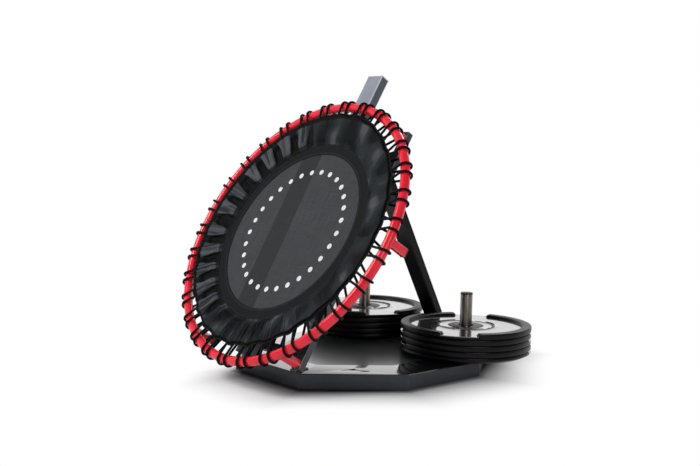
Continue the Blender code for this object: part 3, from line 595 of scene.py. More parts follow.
def round_tree():
    "Copies of one item turned about the middle, evenly all the way round."
    g, ins = shape_tree("copies round a circle", {"Copies": ("Int", 12), "Finish": ("Material", None)})
    spots = g.node("GeometryNodePoints", {}, {"Count": ins["Copies"]})
    turn = g.node("GeometryNodeInputIndex") / ins["Copies"] * (2 * math.pi)
    spin = g.node("FunctionNodeEulerToRotation", {}, {0: g.node("ShaderNodeCombineXYZ", {}, {"Z": turn})})
    many = g.node("GeometryNodeInstanceOnPoints", {},
                  {"Points": spots, "Instance": ins["Geometry"], "Rotation": spin})
    return close_tree(g, many, ins["Finish"])


def weld_tree():
    "A row of overlapping ripples along a line, as a weld leaves them."
    g, ins = shape_tree("weld along a line", {"Pitch": ("Float", 0.0018), "Size": ("Float", 0.0022),
                                              "Finish": ("Material", None)})
    run = g.node("GeometryNodeMeshToCurve", {}, {"Mesh": ins["Geometry"]})
    dots = g.node("GeometryNodeCurveToPoints", {"mode": "LENGTH"},
                  {"Curve": run, "Length": ins["Pitch"]}, out=None)
    drop = g.node("GeometryNodeMeshIcoSphere", {}, {"Radius": ins["Size"], "Subdivisions": 2})
    size = g.node("FunctionNodeRandomValue", {"data_type": "FLOAT"},
                  {"Min": 0.8, "Max": 1.15, "Seed": 4}, out=1)
    flat = g.node("ShaderNodeCombineXYZ", {}, {"X": size, "Y": size, "Z": size * 0.7})
    many = g.node("GeometryNodeInstanceOnPoints", {},
                  {"Points": Wire(g, dots.outputs["Points"]), "Instance": drop,
                   "Rotation": Wire(g, dots.outputs["Rotation"]), "Scale": flat})
    many = g.node("GeometryNodeRealizeInstances", {}, {0: many})
    many = g.node("GeometryNodeSetShadeSmooth", {}, {"Geometry": many, "Shade Smooth": True})
    return close_tree(g, many, ins["Finish"])


def plain(o):
    "Keep what an object's modifiers make, as a plain mesh."
    bpy.context.view_layer.update()
    seen = bpy.context.evaluated_depsgraph_get()
    me = bpy.data.meshes.new_from_object(o.evaluated_get(seen), preserve_all_data_layers=True, depsgraph=seen)
    bpy.data.objects.remove(o)
    return me


def grow(tree, start, **sizes):
    "Run a shape tree on a mesh."
    o = put(start.name, start)
    mod = o.modifiers.new("shape", "NODES")
    mod.node_group = tree
    for item in tree.interface.items_tree:
        if item.item_type == "SOCKET" and item.in_out == "INPUT" and item.name in sizes:
            mod[item.identifier] = sizes[item.name]
    return plain(o)


TUBE, ROUND, WELD = tube_tree(), round_tree(), weld_tree()


# Solids that keep their shape, with edges rolled or broken. The last finish is the edges'.
BEND, FOLD = math.radians(28), math.radians(1)     # least angle of an edge, and of the deck's shallow fold


def deck_faces(normal):
    """Finish 1, a copy painted lighter, on the upright faces, 2 on the level top, 0 between them."""
    return 1 if abs(normal.z) < 0.5 else (2 if normal.z > 0.9998 else 0)


def spine_faces(normal):
    """Finish 1, a copy painted darker as shade, on the two sides, 0 elsewhere."""
    return 1 if abs(normal.x) > 0.9 else 0


def soften(node, slot, finishes, rolled, long, broken):
    "A copy of a solid: edges longer than long are rolled by one width, the others broken by another."
    source = frame["nodes"][node]
    bm = bmesh.new()
    bm.from_mesh(source.data)
    bmesh.ops.remove_doubles(bm, verts=bm.verts, dist=1e-5)
    bmesh.ops.dissolve_limit(bm, angle_limit=math.radians(1), verts=bm.verts, edges=bm.edges)
    share = bm.edges.layers.float.new("bevel_weight_edge")
    widest = max(rolled, broken)
    for e in bm.edges:
        bend = e.calc_face_angle(0) if len(e.link_faces) == 2 else 0
        if bend > BEND:
            e[share] = (rolled if rolled and e.calc_length() > long else broken) / widest
        elif node == "base_deck" and bend > FOLD:
            e[share] = 0.6
    pick = {"base_deck": deck_faces, "spine": spine_faces, "spine_cap_top": spine_faces}.get(node)
    if pick:
        for f in bm.faces:
            f.material_index = pick(f.normal)
    name = node + "_body"
    me = bpy.data.meshes.new(name)
    bm.to_mesh(me)
    bm.free()
    for f in finishes:
        me.materials.append(f)
    me.shade_smooth()
    o = put(name, me)
    bevel = o.modifiers.new("edges", "BEVEL")
    bevel.limit_method, bevel.width, bevel.segments = "WEIGHT", widest, 3
    bevel.harden_normals = True
    bevel.material = len(finishes) - 1
    piece(name, plain(o), source["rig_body"], slot, (node,))


DECK = (deck_coat, deck_side_painted_light, deck_middle, deck_fold_painted_highlight)
BLACK, RAIL, RED = (black_coat, black_edge), (rail_coat, rail_edge), (red_paint, red_edge)
GREY, RUBBER, PLASTIC, ZINC = (grey_coat, grey_side_painted_shade, grey_edge_painted_highlight), (rubber,), (plastic,), (zinc,)
# Nodes, slot, finishes, roll of the long edges, how long those are, and break of the others
SOFTENED = (
    ("base_deck", "black_coat", DECK, 0.0, 0.1, 0.0012),
    ("base_rib_front base_rib_rear", "black_coat", BLACK, 0.004, 0.1, 0.0006),
    ("foot_front_left foot_front_right foot_rear_left foot_rear_right", "rubber", RUBBER, 0.0, 0.1, 0.0015),
    ("hinge_bracket_left hinge_bracket_right", "grey_coat", RAIL, 0.0, 0.1, 0.0008),
    ("hinge_lug_left hinge_lug_right", "grey_coat", RAIL, 0.0, 0.1, 0.0008),
    ("strut_bracket", "black_coat", BLACK, 0.0, 0.1, 0.0008),
    ("strut", "black_coat", BLACK, 0.0040, 0.3, 0.0006),
    ("spine", "grey_coat", GREY, 0.0035, 0.3, 0.0005),
    ("rail_left rail_right", "grey_coat", RAIL, 0.0030, 0.3, 0.0004),
    ("crossbar_upper crossbar_lower", "grey_coat", RAIL, 0.0030, 0.1, 0.0004),
    ("spine_cap_top", "grey_coat", GREY, 0.0, 0.1, 0.0008),
    ("spine_cap_low stub_cap_left stub_cap_right", "plastic", PLASTIC, 0.0, 0.1, 0.0007),
    ("collar", "black_coat", BLACK, 0.0, 0.1, 0.0008),
    ("stub_right stub_left stub_upper_right stub_upper_left stub_lower_left stub_lower_right",
     "red_paint", RED, 0.0030, 0.04, 0.0004),
    ("hinge_pin_left hinge_pin_right strut_foot_pin strut_top_pin", "zinc", ZINC, 0.0, 0.1, 0.0006),
    ("rail_bolt_lower_left rail_bolt_lower_right rail_bolt_upper_left rail_bolt_upper_right",
     "zinc", ZINC, 0.0, 0.1, 0.0005))
for nodes, slot, finishes, rolled, long, broken in SOFTENED:
    for node in nodes.split():
        soften(node, slot, finishes, rolled, long, broken)


# Posts and their caps
POST_R, POST_WALL = 0.0206, 0.004
LIP_IN, LIP_OUT = 0.0007, 0.0008          # rounding of the tube's mouth
FILLET, FLANGE_EDGE = 0.004, 0.0015
CAP_EDGE, CAP_RIM, CAP_SHOULDER, CAP_PLUG = 0.002, 0.0047, 0.0052, 0.006
POLE = 0.0002                             # radius left at the middle of a cap


def middle(low, high):
    return (low.x + high.x) / 2, (low.y + high.y) / 2


def post(side):
    low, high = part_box("post_" + side)
    bore, flange = POST_R - POST_WALL, (high.x - low.x) / 2
    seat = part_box("plate_%s_1" % side)[0].z - GAP
    outline = [(bore, low.z + FILLET)]
    outline += arc(bore + LIP_IN, high.z - LIP_IN, LIP_IN, 180, 90, 3)
    outline += arc(POST_R - LIP_OUT, high.z - LIP_OUT, LIP_OUT, 90, 0, 3)
    outline += [(POST_R, seat + FILLET + 0.001)]
    outline += arc(POST_R + FILLET, seat + FILLET, FILLET, 180, 270, 4)
    outline += arc(flange - FLANGE_EDGE, seat - FLANGE_EDGE, FLANGE_EDGE, 90, 0, 3)
    outline += [(flange, low.z), (bore, low.z)]
    at = middle(low, high)
    piece("post_%s_turned" % side, turned("post", outline, (steel,), at), "base", "steel", ("post_" + side,))


def post_cap(side):
    "Its top is slightly crowned, and its plug goes into the tube."
    low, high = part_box("post_cap_" + side)
    r = (high.x - low.x) / 2
    outline = [(POLE, high.z - 0.0004), (r * 0.6, high.z - 0.0002)]
    outline += arc(r - CAP_EDGE, high.z - CAP_EDGE, CAP_EDGE, 90, 0, 5)
    outline += [(r, high.z - CAP_RIM), (r - CAP_SHOULDER, high.z - CAP_RIM)]
    outline += [(r - CAP_PLUG, low.z), (POLE, low.z)]
    mesh = turned("post_cap", outline, (plastic,), middle(*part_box("post_" + side)))
    piece("post_cap_%s_turned" % side, mesh, "base", "plastic", ("post_cap_" + side,))


for side in ("left", "right"):
    post(side)
    post_cap(side)


# Weight plates
PLATE_R, PLATE_T, BORE_R = 0.2225, 0.0196, 0.0256
RIM_H, RIM_W = 0.0095, 0.0350             # raised rim round the upper face
WEB_T = PLATE_T - RIM_H
NOTCH, RIM_END = math.radians(16), math.radians(2.6)      # half a notch, and the rounded end beside it
END_STEPS = (0.06, 0.18, 0.34, 0.55, 0.8, 1.0)
# From the plate's edge inwards, and up from its underside
FOOT_LOWEST = ((0.0165, 0.0), (0.0140, 0.0012), (0.0030, 0.0072), (0.0006, 0.0086))
FOOT_STACKED = ((0.0030, 0.0), (0.0015, 0.0006), (0.0006, 0.0018), (0.0001, 0.0040))
WALL_TOP = 0.0098
# From each side of the rim inwards, and the share of its height
RIM_OUTSIDE = ((0.0, 0.30), (0.0003, 0.62), (0.0014, 0.86), (0.0036, 0.97), (0.0075, 1.0))
RIM_INSIDE = ((0.0110, 0.98), (0.0060, 0.90), (0.0025, 0.68), (0.0008, 0.35))
# The same points in a notch, where the web runs out to the edge
NOTCH_EDGE = ((0.0, -0.0012), (0.0004, -0.0005))
NOTCH_FLAT = (0.0012, 0.0050, 0.0090, RIM_W / 2, 0.0240, 0.0290, 0.0325, 0.0342, RIM_W)
# Radius, and height over the web: a turned ring, the hub and the bore's edge
RING_BAND, HUB_R = (0.0885, 0.0995), 0.0610
TURNED_FACE = ((0.1800, 0.0), (0.1200, 0.0), (RING_BAND[1], 0.0), (0.0980, 0.0006), (0.0900, 0.0006),
               (RING_BAND[0], 0.0), (HUB_R, 0.0), (0.0600, 0.0008), (0.0590, 0.0013), (0.0400, 0.0013),
               (0.0380, 0.0020), (0.0300, 0.0020), (0.0275, 0.0016), (0.0262, 0.0010), (BORE_R, 0.0))


def from_notch(angle):
    "Angle from the middle of the nearer notch."
    return (angle + math.pi / 2) % math.pi - math.pi / 2


def plate_angles():
    "Angles round a plate, closer together where the rim ends."
    angles = []
    for half in (0, math.pi):
        angles += [half + NOTCH * t for t in np.linspace(-1, 1, 9)]
        angles += [half + NOTCH + RIM_END * t for t in END_STEPS]
        angles += [half + a for a in np.linspace(NOTCH + RIM_END, math.pi - NOTCH - RIM_END, 58)[1:-1]]
        angles += [half + math.pi - NOTCH - RIM_END * t for t in END_STEPS[::-1]]
    return angles


def rim(angle):
    "Outline over the rim, or over the web in a notch, from the edge inwards."
    share = min(1.0, max(0.0, (abs(from_notch(angle)) - NOTCH) / RIM_END))
    if share == 0:
        edge = [(PLATE_R - inset, WEB_T + z) for inset, z in NOTCH_EDGE]
        return edge + [(PLATE_R - inset, WEB_T) for inset in NOTCH_FLAT]
    swell = math.sqrt(1 - (1 - share) ** 2)
    h, crown = RIM_H * swell, PLATE_R - RIM_W / 2
    inner = crown - RIM_W / 2 * (0.25 + 0.75 * swell)
    outline = [(PLATE_R - inset, WEB_T + up * h) for inset, up in RIM_OUTSIDE]
    outline += [(crown, WEB_T + h)]
    outline += [(inner + inset, WEB_T + up * h) for inset, up in RIM_INSIDE]
    return outline + [(inner, WEB_T + 0.0003)]


def weight_plate(name, node, turn, foot):
    low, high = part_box(node)
    cx, cy = middle(low, high)
    below = [(BORE_R, 0.0008), (BORE_R + 0.0008, 0.0)]
    below += [(PLATE_R - inset, z) for inset, z in foot] + [(PLATE_R, WALL_TOP)]
    above = [(r, WEB_T + z) for r, z in TURNED_FACE]
    rings = []
    for a in plate_angles():
        c, s = math.cos(turn + a), math.sin(turn + a)
        rings.append([(cx + r * c, cy + r * s, low.z + z) for r, z in below + rim(a) + above])

    def pick(at):
        "1 on the bare web, 0 on rim, hub and turned ring."
        r = math.hypot(at.x - cx, at.y - cy)
        notched = abs(from_notch(math.atan2(at.y - cy, at.x - cx) - turn)) < NOTCH
        in_notch = notched and at.z > low.z + WEB_T - 0.0008
        bare = HUB_R < r < RING_BAND[0] or RING_BAND[1] < r < PLATE_R - RIM_W
        return 1 if (bare or in_notch) and at.z > low.z + 0.006 else 0
    mesh = outward(skin(name, rings, (bead_rubber, web_face), joined=True, pick=pick))
    piece(name, mesh, node, "plate_iron", (node,))


# Degrees that each plate is turned by, from the lowest up
LOWER_TURNS, TOP_TURN = (41, 52, 43, 47), {"left": -24.5, "right": -53.5}
for side in ("left", "right"):
    for k, turn in enumerate((*LOWER_TURNS, TOP_TURN[side]), 1):
        foot = FOOT_LOWEST if k == 1 else FOOT_STACKED
        weight_plate("weight_%s_%d" % (side, k), "plate_%s_%d" % (side, k), math.radians(turn), foot)


# Ring, and the welds of its six stubs
ring = grow(TUBE, circle("ring", RING_R, 240), Radius=TUBE_R, Sides=40, Finish=red_paint)
piece("ring_round", ring, "frame", "red_paint", ("ring_tube",), FACE)

STUB_X, STUB_Y, SQUARE = 0.0112, 0.0147, 0.35     # half a stub, and the power that squares its outline
WELD_PITCH, WELD_SIZE, WELD_SINK = 0.0019, 0.0021, 0.0006


def squared(value):
    return math.copysign(abs(value) ** SQUARE, value)


def stub_weld(degrees):
    out = Vector(on_circle(1.0, math.radians(degrees)))
    along = Vector((-out.y, out.x, 0))
    loop = []
    for b in even(48):
        x, y = STUB_X * squared(math.cos(b)), STUB_Y * squared(math.sin(b))
        under = -math.sqrt(max(TUBE_R ** 2 - x * x, 0.00008)) - WELD_SINK
        loop.append(out * (RING_R + x) + along * y + Vector((0, 0, under)))
    bead = grow(WELD, line("weld", loop, True), Pitch=WELD_PITCH, Size=WELD_SIZE, Finish=red_paint)
    piece("stub_weld_%d" % degrees, bead, "frame", "red_paint", (), FACE)


for degrees in range(0, 360, 60):
    stub_weld(degrees)


# Mat, and the printed ring of dots
MAT_SPREAD = (0.0003, 0.06, 0.12, 0.18, 0.24, 0.30, 0.3385)      # radii of the flat part
top = [(r, MAT_T / 2) for r in MAT_SPREAD] + [(0.3398, MAT_T / 3), (MAT_R, 0.0)]
outline = top + [(r, -z) for r, z in top[::-1]]
mesh = turned("mat", [(r, MAT_W + z) for r, z in outline], (mat_cloth,), sides=144)
mat = piece("mat_cloth", mesh, "mat", "woven_mat", ("mat",), FACE)

DOT_R, DOTS_R, DOTS_AT = 0.0093, 0.2150, (0.0087, 0.0007)
DOTS_W = MAT_W + MAT_T / 2 + 0.00012
# First and last angle of each run of dots, and how many it has
DOT_RUNS = ((138.9, 62.6, 7), (50.3, 1.3, 5), (-10.9, -35.6, 3), (-48.2, -86.0, 4), (-98.6, -124.1, 3),
            (-136.2, -209.0, 7))


def printed_dots():
    bm = bmesh.new()
    for first, last, count in DOT_RUNS:
        for a in np.radians(np.linspace(first, last, count)):
            spot = (DOTS_AT[0] + DOTS_R * math.cos(a), DOTS_AT[1] + DOTS_R * math.sin(a), DOTS_W)
            bmesh.ops.create_circle(bm, cap_ends=True, segments=28, radius=DOT_R,
                                    matrix=Matrix.Translation(spot))
    me = bpy.data.meshes.new("dots")
    bm.to_mesh(me)
    bm.free()
    me.materials.append(print_white)
    piece("printed_dots", me, "mat", "woven_mat", (), FACE)


printed_dots()

# Band round the mat's edge: three low ribs, and rounded sides
RIB_H, RIB_PHASE = 0.00035, 9.4 / BAND_WIDE
ribbed = [(r, BAND_T + RIB_H * math.sin((r - BAND_IN) * RIB_PHASE) ** 2)
          for r in np.linspace(BAND_IN + 0.004, MAT_R - 0.003, 14)]
outline = [(BAND_IN, 0.0002), (BAND_IN + 0.0004, 0.0010), (BAND_IN + 0.0014, BAND_T), *ribbed,
           (MAT_R - 0.0008, BAND_T), (MAT_R, 0.0008), (MAT_R - 0.0004, 0.0), (BAND_IN + 0.0004, 0.0)]
mesh = turned("band", [(r, BAND_W + z) for r, z in outline], (webbing,), sides=180)
band = piece("mat_band", mesh, "mat", "nylon", ("mat_binding",), FACE)

STITCH, STITCH_PITCH, THREAD_R = 0.0034, 0.0046, 0.00045


def stitch(r, w):
    "A short thread laid along the circle, its ends sunk."
    rows = []
    for t in np.linspace(-1, 1, 5):
        lift = THREAD_R * (1 - t * t) * 0.9
        rows.append([(r + THREAD_R * math.cos(b), t * STITCH / 2, w + lift + 0.6 * THREAD_R * math.sin(b))
                     for b in even(6)])
    return outward(skin("stitch", rows, (thread,)))


for row, r in (("inner", BAND_IN + 0.0045), ("second", BAND_IN + 0.0075), ("outer", SKIRT_IN - 0.0035)):
    stitches = grow(ROUND, stitch(r, BAND_W + BAND_T + 0.0002), Copies=int(2 * math.pi * r / STITCH_PITCH),
                    Finish=thread)
    piece("band_stitch_" + row, stitches, "mat", "nylon", (), FACE)

# Hoop, and the straps that hold it to the band
hoop = grow(TUBE, circle("hoop", HOOP_R, 180, MAT_W), Radius=HOOP_WIRE, Sides=12, Finish=zinc)
piece("hoop_wire", hoop, "mat", "zinc", ("mat_hoop",), FACE)

STRAPS, STRAP_WIDE, STRAP_LONG = 15, 0.014, 0.068
STRAP_T, SELVEDGE_T = 0.0007, 0.0003      # half of the thickness, in the middle and at the sides
STRAP_ROUND, STRAP_HOLD, STRAP_TAIL = 0.0036, 0.005, 0.016


def strap():
    "A tape from the band over the hoop and back under the mat: radius and height from the mat."
    run = [(MAT_R - STRAP_TAIL, BAND_W - MAT_W + BAND_T), (HOOP_R - STRAP_HOLD, 0.0030)]
    run += [(HOOP_R + STRAP_ROUND * math.cos(math.radians(d)), STRAP_ROUND * math.sin(math.radians(d)))
            for d in range(90, -91, -15)]
    run += [(HOOP_R - STRAP_HOLD, -0.0030), (MAT_R - STRAP_TAIL, -0.0028)]
    rows = []
    for t, thin in ((-0.5, SELVEDGE_T), (-0.4714, STRAP_T), (0.4714, STRAP_T), (0.5, SELVEDGE_T)):
        side = round(t * STRAP_WIDE, 4)
        front, rear = [], []
        for i, (r, w) in enumerate(run):
            before, after = Vector(run[max(i - 1, 0)]), Vector(run[min(i + 1, len(run) - 1)])
            d = (after - before).normalized()
            front.append((r - d.y * thin, side, MAT_W + w + d.x * thin))
            rear.append((r + d.y * thin, side, MAT_W + w - d.x * thin))
        rows.append(front + rear[::-1])
    return outward(skin("strap", rows, (webbing,)))


straps = grow(ROUND, strap(), Copies=STRAPS, Finish=webbing)
straps = piece("hoop_straps", straps, "mat", "nylon", (), FACE)


# Elastic lacing
OVER_TUBE = TUBE_R + CORD_R + GAP
ROUND_HOOP = HOOP_WIRE + CORD_R + GAP
RUNS, CORDS = 15, 3                       # runs that the lacing is made in, and cords that they stand for
SPREAD, SLACK, SLIP = math.radians(1.9), math.radians(0.5), math.radians(0.55)


def smoothed(points, steps=4):
    "A smooth run through the points."
    p = np.array(points, float)
    out = []
    for i in range(len(p) - 1):
        a, b, c, d = p[max(i - 1, 0)], p[i], p[i + 1], p[min(i + 2, len(p) - 1)]
        for t in (s / steps for s in range(steps)):
            slope, bend, twist = c - a, 2 * a - 5 * b + 4 * c - d, 3 * b - a - 3 * c + d
            out.append(0.5 * (2 * b + slope * t + bend * t * t + twist * t ** 3))
    out.append(p[-1])
    return out


def at_hoop(angle, degrees):
    "A point of the cord where it goes round the hoop."
    d = math.radians(degrees)
    return on_circle(HOOP_R + ROUND_HOOP * math.cos(d), angle, MAT_W + ROUND_HOOP * math.sin(d))


def hold(i):
    "Where wrap i takes hold of the hoop: evenly round it."
    pair, second = divmod(i, 2)
    return pair * PITCH + (0.75 if second else 0.25) * PITCH


def wrap(i):
    "From inside the hoop, over the front of the ring, round it and back behind."
    pair, second = divmod(i, 2)
    way = 1 if second else -1
    cross = (pair + 0.5) * PITCH + way * SPREAD + SLACK * noise.noise(Vector((i * 0.77, 3.1, 0)))
    points = [at_hoop(hold(i), degrees) for degrees in (180, 150, 120, 92)]
    for degrees in range(105, -121, -15):
        d = math.radians(degrees)
        angle = cross + way * SLIP * (100 - degrees) / 200
        points.append(on_circle(RING_R + OVER_TUBE * math.cos(d), angle, OVER_TUBE * math.sin(d)))
    return points + [at_hoop(hold(i + 1), degrees) for degrees in (268, 240, 210)]


def lacing(run):
    each = 2 * PAIRS // RUNS
    first, after = run * each, (run + 1) * each
    points = [p for i in range(first, after) for p in wrap(i)] + wrap(after)[:1]
    mesh = grow(TUBE, line("lacing", smoothed(points)), Radius=CORD_R, Sides=10, Finish=cord_sheath)
    cord = "bungee_cord_%d" % (run * CORDS // RUNS + 1)
    lace = piece("lacing_%02d" % run, mesh, None, "cord", (cord,), FACE)
    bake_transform(lace)


for run in range(RUNS):
    lacing(run)


# Gathered skirt: f is the share of its width, from 0 at the inner edge to 1 at the hem.
# Heights are out of the face, in metres; angles start at the right and go up over the top.
SKIRT_LOW = -0.0048                       # inner edge, from the ring's plane
STRANDS_AT_RING = 0.0194                  # height of the strands where they meet the ring
LOOSE, BILLOW, POCKET = 0.0022, 0.0050, 0.0085
CREASE, FINE_CREASE, HEM_RIPPLE, HEM_CURL = 0.0030, 0.0014, 0.0012, 0.0045
CLOTH_T, CASING_WIDE = 0.0009, 0.02


def step(x, low, high):
    "A soft step from 0 at low to 1 at high."
    t = min(1.0, max(0.0, (x - low) / (high - low)))
    return t * t * (3 - 2 * t)


def drift(x, y, z):
    "Smooth noise at a place."
    return noise.noise(Vector((x, y, z)))


def strand_top(rho):
    "Height of the strands' upper side at a radius."
    climb = (STRANDS_AT_RING - MAT_W - ROUND_HOOP) / (RING_R - HOOP_R - 0.003)
    return MAT_W + ROUND_HOOP + max(0.0, rho - HOOP_R) * climb + CORD_R * 0.9


def towards(ang, degrees, low, high):
    "1 near a direction of the circle, 0 away from it."
    return step(math.cos(ang - math.radians(degrees)), low, high)


def pleat(f, ang):
    "Depth, 0 to 1, of the pocket between two pairs of strands: wide at the band, shut further out."
    cell = ang / PITCH + 0.10 * drift(ang * 7.0, f * 1.5, 3.0)
    near = abs((cell + 0.5) % 1 - 0.5)
    vary = drift(math.floor(cell + 0.5) * 1.37, 8.0, 2.0)
    end = 0.92 + 0.36 * vary
    wide = (0.31 + 0.18 * vary) * (1 - f / end) ** 0.35 if f < end else 0.0
    if wide <= 0.02:
        return 0.0
    return step(1 - near / wide, 0.0, 0.26) * step(f, 0.0, 0.08)


def ridge(ang, f, pitch, seed):
    "Narrow creases that run outwards, 0 to 1."
    x = ang / pitch + 0.35 * drift(ang * 11, f * 2.2, seed)
    return step(1 - 3.0 * abs(drift(x, f * 0.7, seed + 4.0)), 0.0, 1.0)


def skirt_height(f, ang):
    """Height of the cloth, and its painted light and shade from 0 to 1: paler on folds that stand up, darker
    in the pockets.
    """
    rho = SKIRT_IN + (SKIRT_OUT - SKIRT_IN) * f
    panels, ripples = towards(ang, 176, 0.24, 0.62), towards(ang, 238, 0.0, 0.75)
    if f < 0.3:
        base = SKIRT_LOW + (strand_top(0.349) - SKIRT_LOW) * step(f, 0.0, 0.3)
    else:
        base = strand_top(rho)
    pocket = pleat(f, ang) * (0.10 + 0.90 * panels)
    big = drift(ang * 5.5, f * 1.3, 2.0)
    fine, finer = ridge(ang, f, 0.045, 11.0), ridge(ang, f, 0.022, 23.0)
    fold = 0.12 + 0.88 * max(panels * 0.6, ripples)
    hem = step(f, 0.5, 1.0)
    h = base + LOOSE + BILLOW * math.sin(math.pi * min(1.0, f)) ** 0.6 * (0.35 + big)
    h -= POCKET * pocket * (1 - step(f, 0.55, 0.75))
    creases = CREASE * fine * step(f, 0.05, 0.3) + FINE_CREASE * finer * step(f, 0.02, 0.2)
    h += fold * creases * (1 - 0.3 * hem)
    h += HEM_RIPPLE * hem * (1 - abs(drift(ang * 60, 1.0, 6.0)) * 2.5)
    # over the band and its straps the cloth lies on them
    bed = BAND_W + BAND_T + 0.0005 + 0.0014 * step(rho, SKIRT_IN, SKIRT_IN + 0.003)
    h = max(h, bed - 0.5 * max(0.0, rho - HOOP_R - 0.006))
    # Painted light and shade: lighter over the panels and creases, darker in the pockets and beside the band
    # at the left.
    fold_light_and_shade = 0.52 + 0.55 * big * (1 - panels) + 0.40 * panels * (1 - pocket) * (0.55 + 0.45 * fine)
    fold_light_and_shade += fold * 0.34 * (0.6 * fine + 0.4 * finer - 0.45) - 0.85 * pocket
    fold_light_and_shade -= 0.5 * panels * (1 - step(f, 0.10, 0.15))
    return h - HEM_CURL * step(f, 0.90, 1.0) ** 2, min(1.0, max(0.0, fold_light_and_shade))


def skirt_reach(ang):
    "How much further out the hem is: most over each pair of strands, and at the left and the top."
    left = 0.0150 * towards(ang, 140, -0.1, 0.6)
    right = 0.0060 * towards(ang, 40, 0.0, 0.6) * (1 - left / 0.0150)
    scallop = 0.0030 + 0.0038 * towards(ang, 270, 0.0, 0.8)
    pair = 0.5 + 0.5 * math.cos(PAIRS * (ang - 0.5 * PITCH))
    return left + right - 0.0030 + scallop * pair ** 2 + 0.0020 * drift(ang * 14, 5.0, 1.0)


def casing_shade_from(ang):
    "Where the dark casing of the hem starts, as a share of the cloth's width."
    return 0.88 - 0.08 * towards(ang, 150, 0.0, 0.6)


def skirt():
    "The cloth, and the roll of its hem."
    steps = [0.0, 0.012, 0.03, *np.linspace(0.06, 0.92, 27), 0.94, 0.96, 0.98, 1.0]
    grid, fold_lights_and_shades, casing_shades, hem_line = [], [], [], []
    for ang in even(1440):
        width, casing_shade, row = SKIRT_OUT - SKIRT_IN + skirt_reach(ang), casing_shade_from(ang), []
        for f in steps:
            h, fold_light_and_shade = skirt_height(f, ang)
            row.append(on_circle(SKIRT_IN + width * f, ang, h))
            fold_lights_and_shades.append(fold_light_and_shade)
            casing_shades.append(step(f, casing_shade, casing_shade + CASING_WIDE))
        grid.append(row)
        x, y, w = row[-1]
        hem_line.append((x * 1.002, y * 1.002, w - 0.0008))
    sheet = skin("skirt", grid, (nylon,), around=False, joined=True)
    for name, values in (("fold_light_and_shade", fold_lights_and_shades), ("casing_shade", casing_shades)):
        sheet.attributes.new(name, "FLOAT", "POINT").data.foreach_set("value", values)
    o = put("skirt_cloth", sheet)
    solid = o.modifiers.new("cloth", "SOLIDIFY")
    solid.thickness, solid.offset = CLOTH_T, 0.0
    sheet = plain(o)
    sheet.shade_smooth()
    cloth = piece("skirt_cloth", sheet, None, "nylon", ("skirt",), FACE)
    high, low = FACE @ Vector((0, 0, 0.0200)), FACE @ Vector((0, 0, -0.0020))
    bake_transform(cloth)
    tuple(high)
    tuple(low)
    roll = grow(TUBE, line("hem", hem_line[::2], True), Radius=0.0024, Sides=10, Finish=hem_sheath)
    roll = piece("skirt_hem", roll, None, "nylon", (), FACE)
    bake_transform(roll)
    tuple(high)
    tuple(low)
    return cloth, roll


cloth, roll = skirt()


# Clamp knob
GRIP_R, GRIP_T, STUD_R, LOBES = 0.0205, 0.0152, 0.0040, 6
# Depth under the knob's face, share of the radius, and depth of the dips between lobes
GRIP = ((0.0150, 0.80, 0.10), (0.0142, 0.97, 0.16), (0.0120, 1.0, 0.17), (0.0050, 1.0, 0.17),
        (0.0022, 0.94, 0.15), (0.0004, 0.80, 0.08), (0.0, 0.55, 0.0), (0.0004, 0.30, 0.0),
        (0.0016, 0.24, 0.0))


def clamp_knob():
    "The screw's stud and its lobed grip, turned about X."
    low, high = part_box("clamp_knob")
    cy, cz = (low.y + high.y) / 2, (low.z + high.z) / 2
    rows = []
    for x, r in ((low.x, STUD_R - 0.0006), (low.x + 0.0008, STUD_R), (high.x - GRIP_T, STUD_R)):
        rows.append([(x, cy + r * math.cos(b), cz + r * math.sin(b)) for b in even(72)])
    for depth, share, dip in GRIP:
        row = []
        for b in even(72):
            r = GRIP_R * share * (1 - dip * (0.5 + 0.5 * math.cos(LOBES * b)))
            row.append((high.x - depth, cy + r * math.cos(b), cz + r * math.sin(b)))
        rows.append(row)
    piece("knob_grip", outward(skin("grip", rows, (plastic,))), "knob", "plastic", ("clamp_knob",))


clamp_knob()


# Room
FLOOR_REACH = 40
# The dark floor colour is a painted shadow under and round the deck.
WHITE, PAINTED_SHADOW_FLOOR, PALE_FLOOR = (1, 1, 1, 1), (0.08, 0.08, 0.08, 1), (0.70, 0.70, 0.71, 1)
# Name, place, aim, width and power of each lamp
LAMPS = (("key", (-1.4, -2.8, 2.8), (0, 0, 0.45), 1.6, 88),
         ("fill", (3.0, -1.0, 1.6), (0, 0, 0.4), 1.4, 22),
         ("rear", (-0.8, 2.8, 2.6), (0, 0, 0.5), 1.6, 30))


def seen_by(g):
    "1 for rays from the camera, from gloss and through glass."
    rays = g.node("ShaderNodeLightPath", out=None)
    return [Wire(g, rays.outputs["Is %s Ray" % kind]) for kind in ("Camera", "Glossy", "Transmission")]


def sky():
    "White to the camera, dim as a light, and in gloss brighter on one side and low down."
    world = bpy.data.worlds.new("room")
    world.use_nodes = True
    bpy.context.scene.world = world
    g = Graph(world.node_tree)
    g.tree.nodes.clear()
    camera_ray, glossy, through = seen_by(g)
    x, y, z = g.parts(g.node("ShaderNodeTexCoord", out="Generated"))
    wall = (y * 0.66 - x * 0.75).ramp(-0.25, 0.55) * (1 - z.ramp(0.25, 0.75) * 0.65)
    strength = 0.31 * (1 - glossy) + glossy * (0.14 + wall * 0.86)
    back = g.node("ShaderNodeBackground", {},
                  {"Color": WHITE, "Strength": camera_ray.most(through).most(strength)})
    g.node("ShaderNodeOutputWorld", {}, {"Surface": back}, out=None)


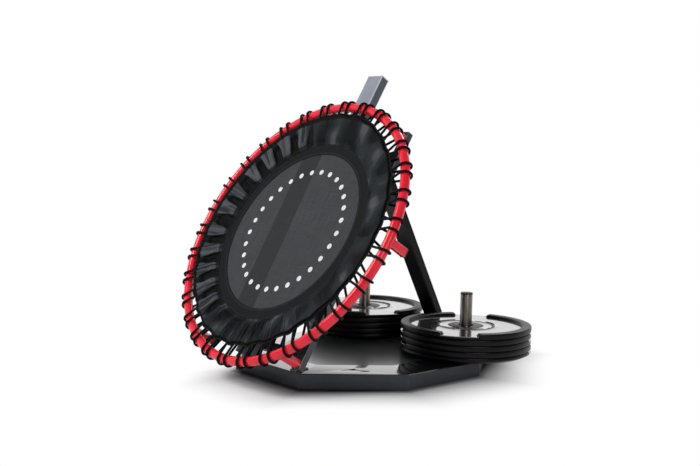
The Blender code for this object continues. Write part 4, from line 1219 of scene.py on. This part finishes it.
def past_deck(x, y):
    "How far a place is past the deck's outline; below 0 under it."
    deck = frame["nodes"]["base_deck"].data
    walls = {(round(f.normal.x, 3), round(f.normal.y, 3)) for f in deck.polygons
             if abs(f.normal.z) < 0.1 and f.area > 0.002}
    past = None
    for nx, ny in sorted(walls):
        side = x * nx + y * ny - max(v.co.x * nx + v.co.y * ny for v in deck.vertices)
        past = side if past is None else past.most(side)
    return past


def floor():
    """Pale, with a painted shadow under the deck and close round it, and further out as white as the room."""
    me = bpy.data.meshes.new("floor")
    far = FLOOR_REACH
    me.from_pydata([(-far, -far, 0), (far, -far, 0), (far, far, 0), (-far, far, 0)], [], [(0, 1, 2, 3)])
    m, g = new_material("pale floor")
    camera_ray, glossy, through = seen_by(g)
    x, y, _ = g.parts(g.place())
    past = past_deck(x, y)
    # the painted shadow is shorter to the right and to the left
    beside = past + x.ramp(0.15, 0.40) * 0.06 + (x * -1).ramp(0.08, 0.28) * 0.16
    # Painted shadow: dark diffuse under the deck and just past its edge, then pale.
    clear_of_painted_shadow = past.ramp(0.004, 0.024) * (0.22 + beside.ramp(0.0, 0.15) * 0.78)
    dark = g.node("ShaderNodeBsdfDiffuse", {}, {"Color": PAINTED_SHADOW_FLOOR})
    pale = g.node("ShaderNodeBsdfDiffuse", {}, {"Color": PALE_FLOOR})
    matt = g.node("ShaderNodeMixShader", {}, {0: clear_of_painted_shadow, 1: dark, 2: pale})
    glow = g.node("ShaderNodeEmission", {}, {"Color": WHITE, "Strength": 1.0})
    away = camera_ray.most(glossy).most(through) * beside.ramp(0.02, 0.30)
    both = g.node("ShaderNodeMixShader", {}, {0: away, 1: matt, 2: glow})
    g.node("ShaderNodeOutputMaterial", {}, {"Surface": both}, out=None)
    me.materials.append(m)
    put("floor", me)


def lamp(name, at, aim, width, power):
    data = bpy.data.lights.new(name, "AREA")
    data.shape, data.size, data.energy = "SQUARE", width, power
    turn = (Vector(aim) - Vector(at)).to_track_quat("-Z", "Y").to_matrix().to_4x4()
    put(name, data).matrix_world = Matrix.Translation(at) @ turn


bpy.context.scene.view_settings.view_transform = "Standard"
sky()
floor()
for name, at, aim, width, power in LAMPS:
    lamp(name, at, aim, width, power)
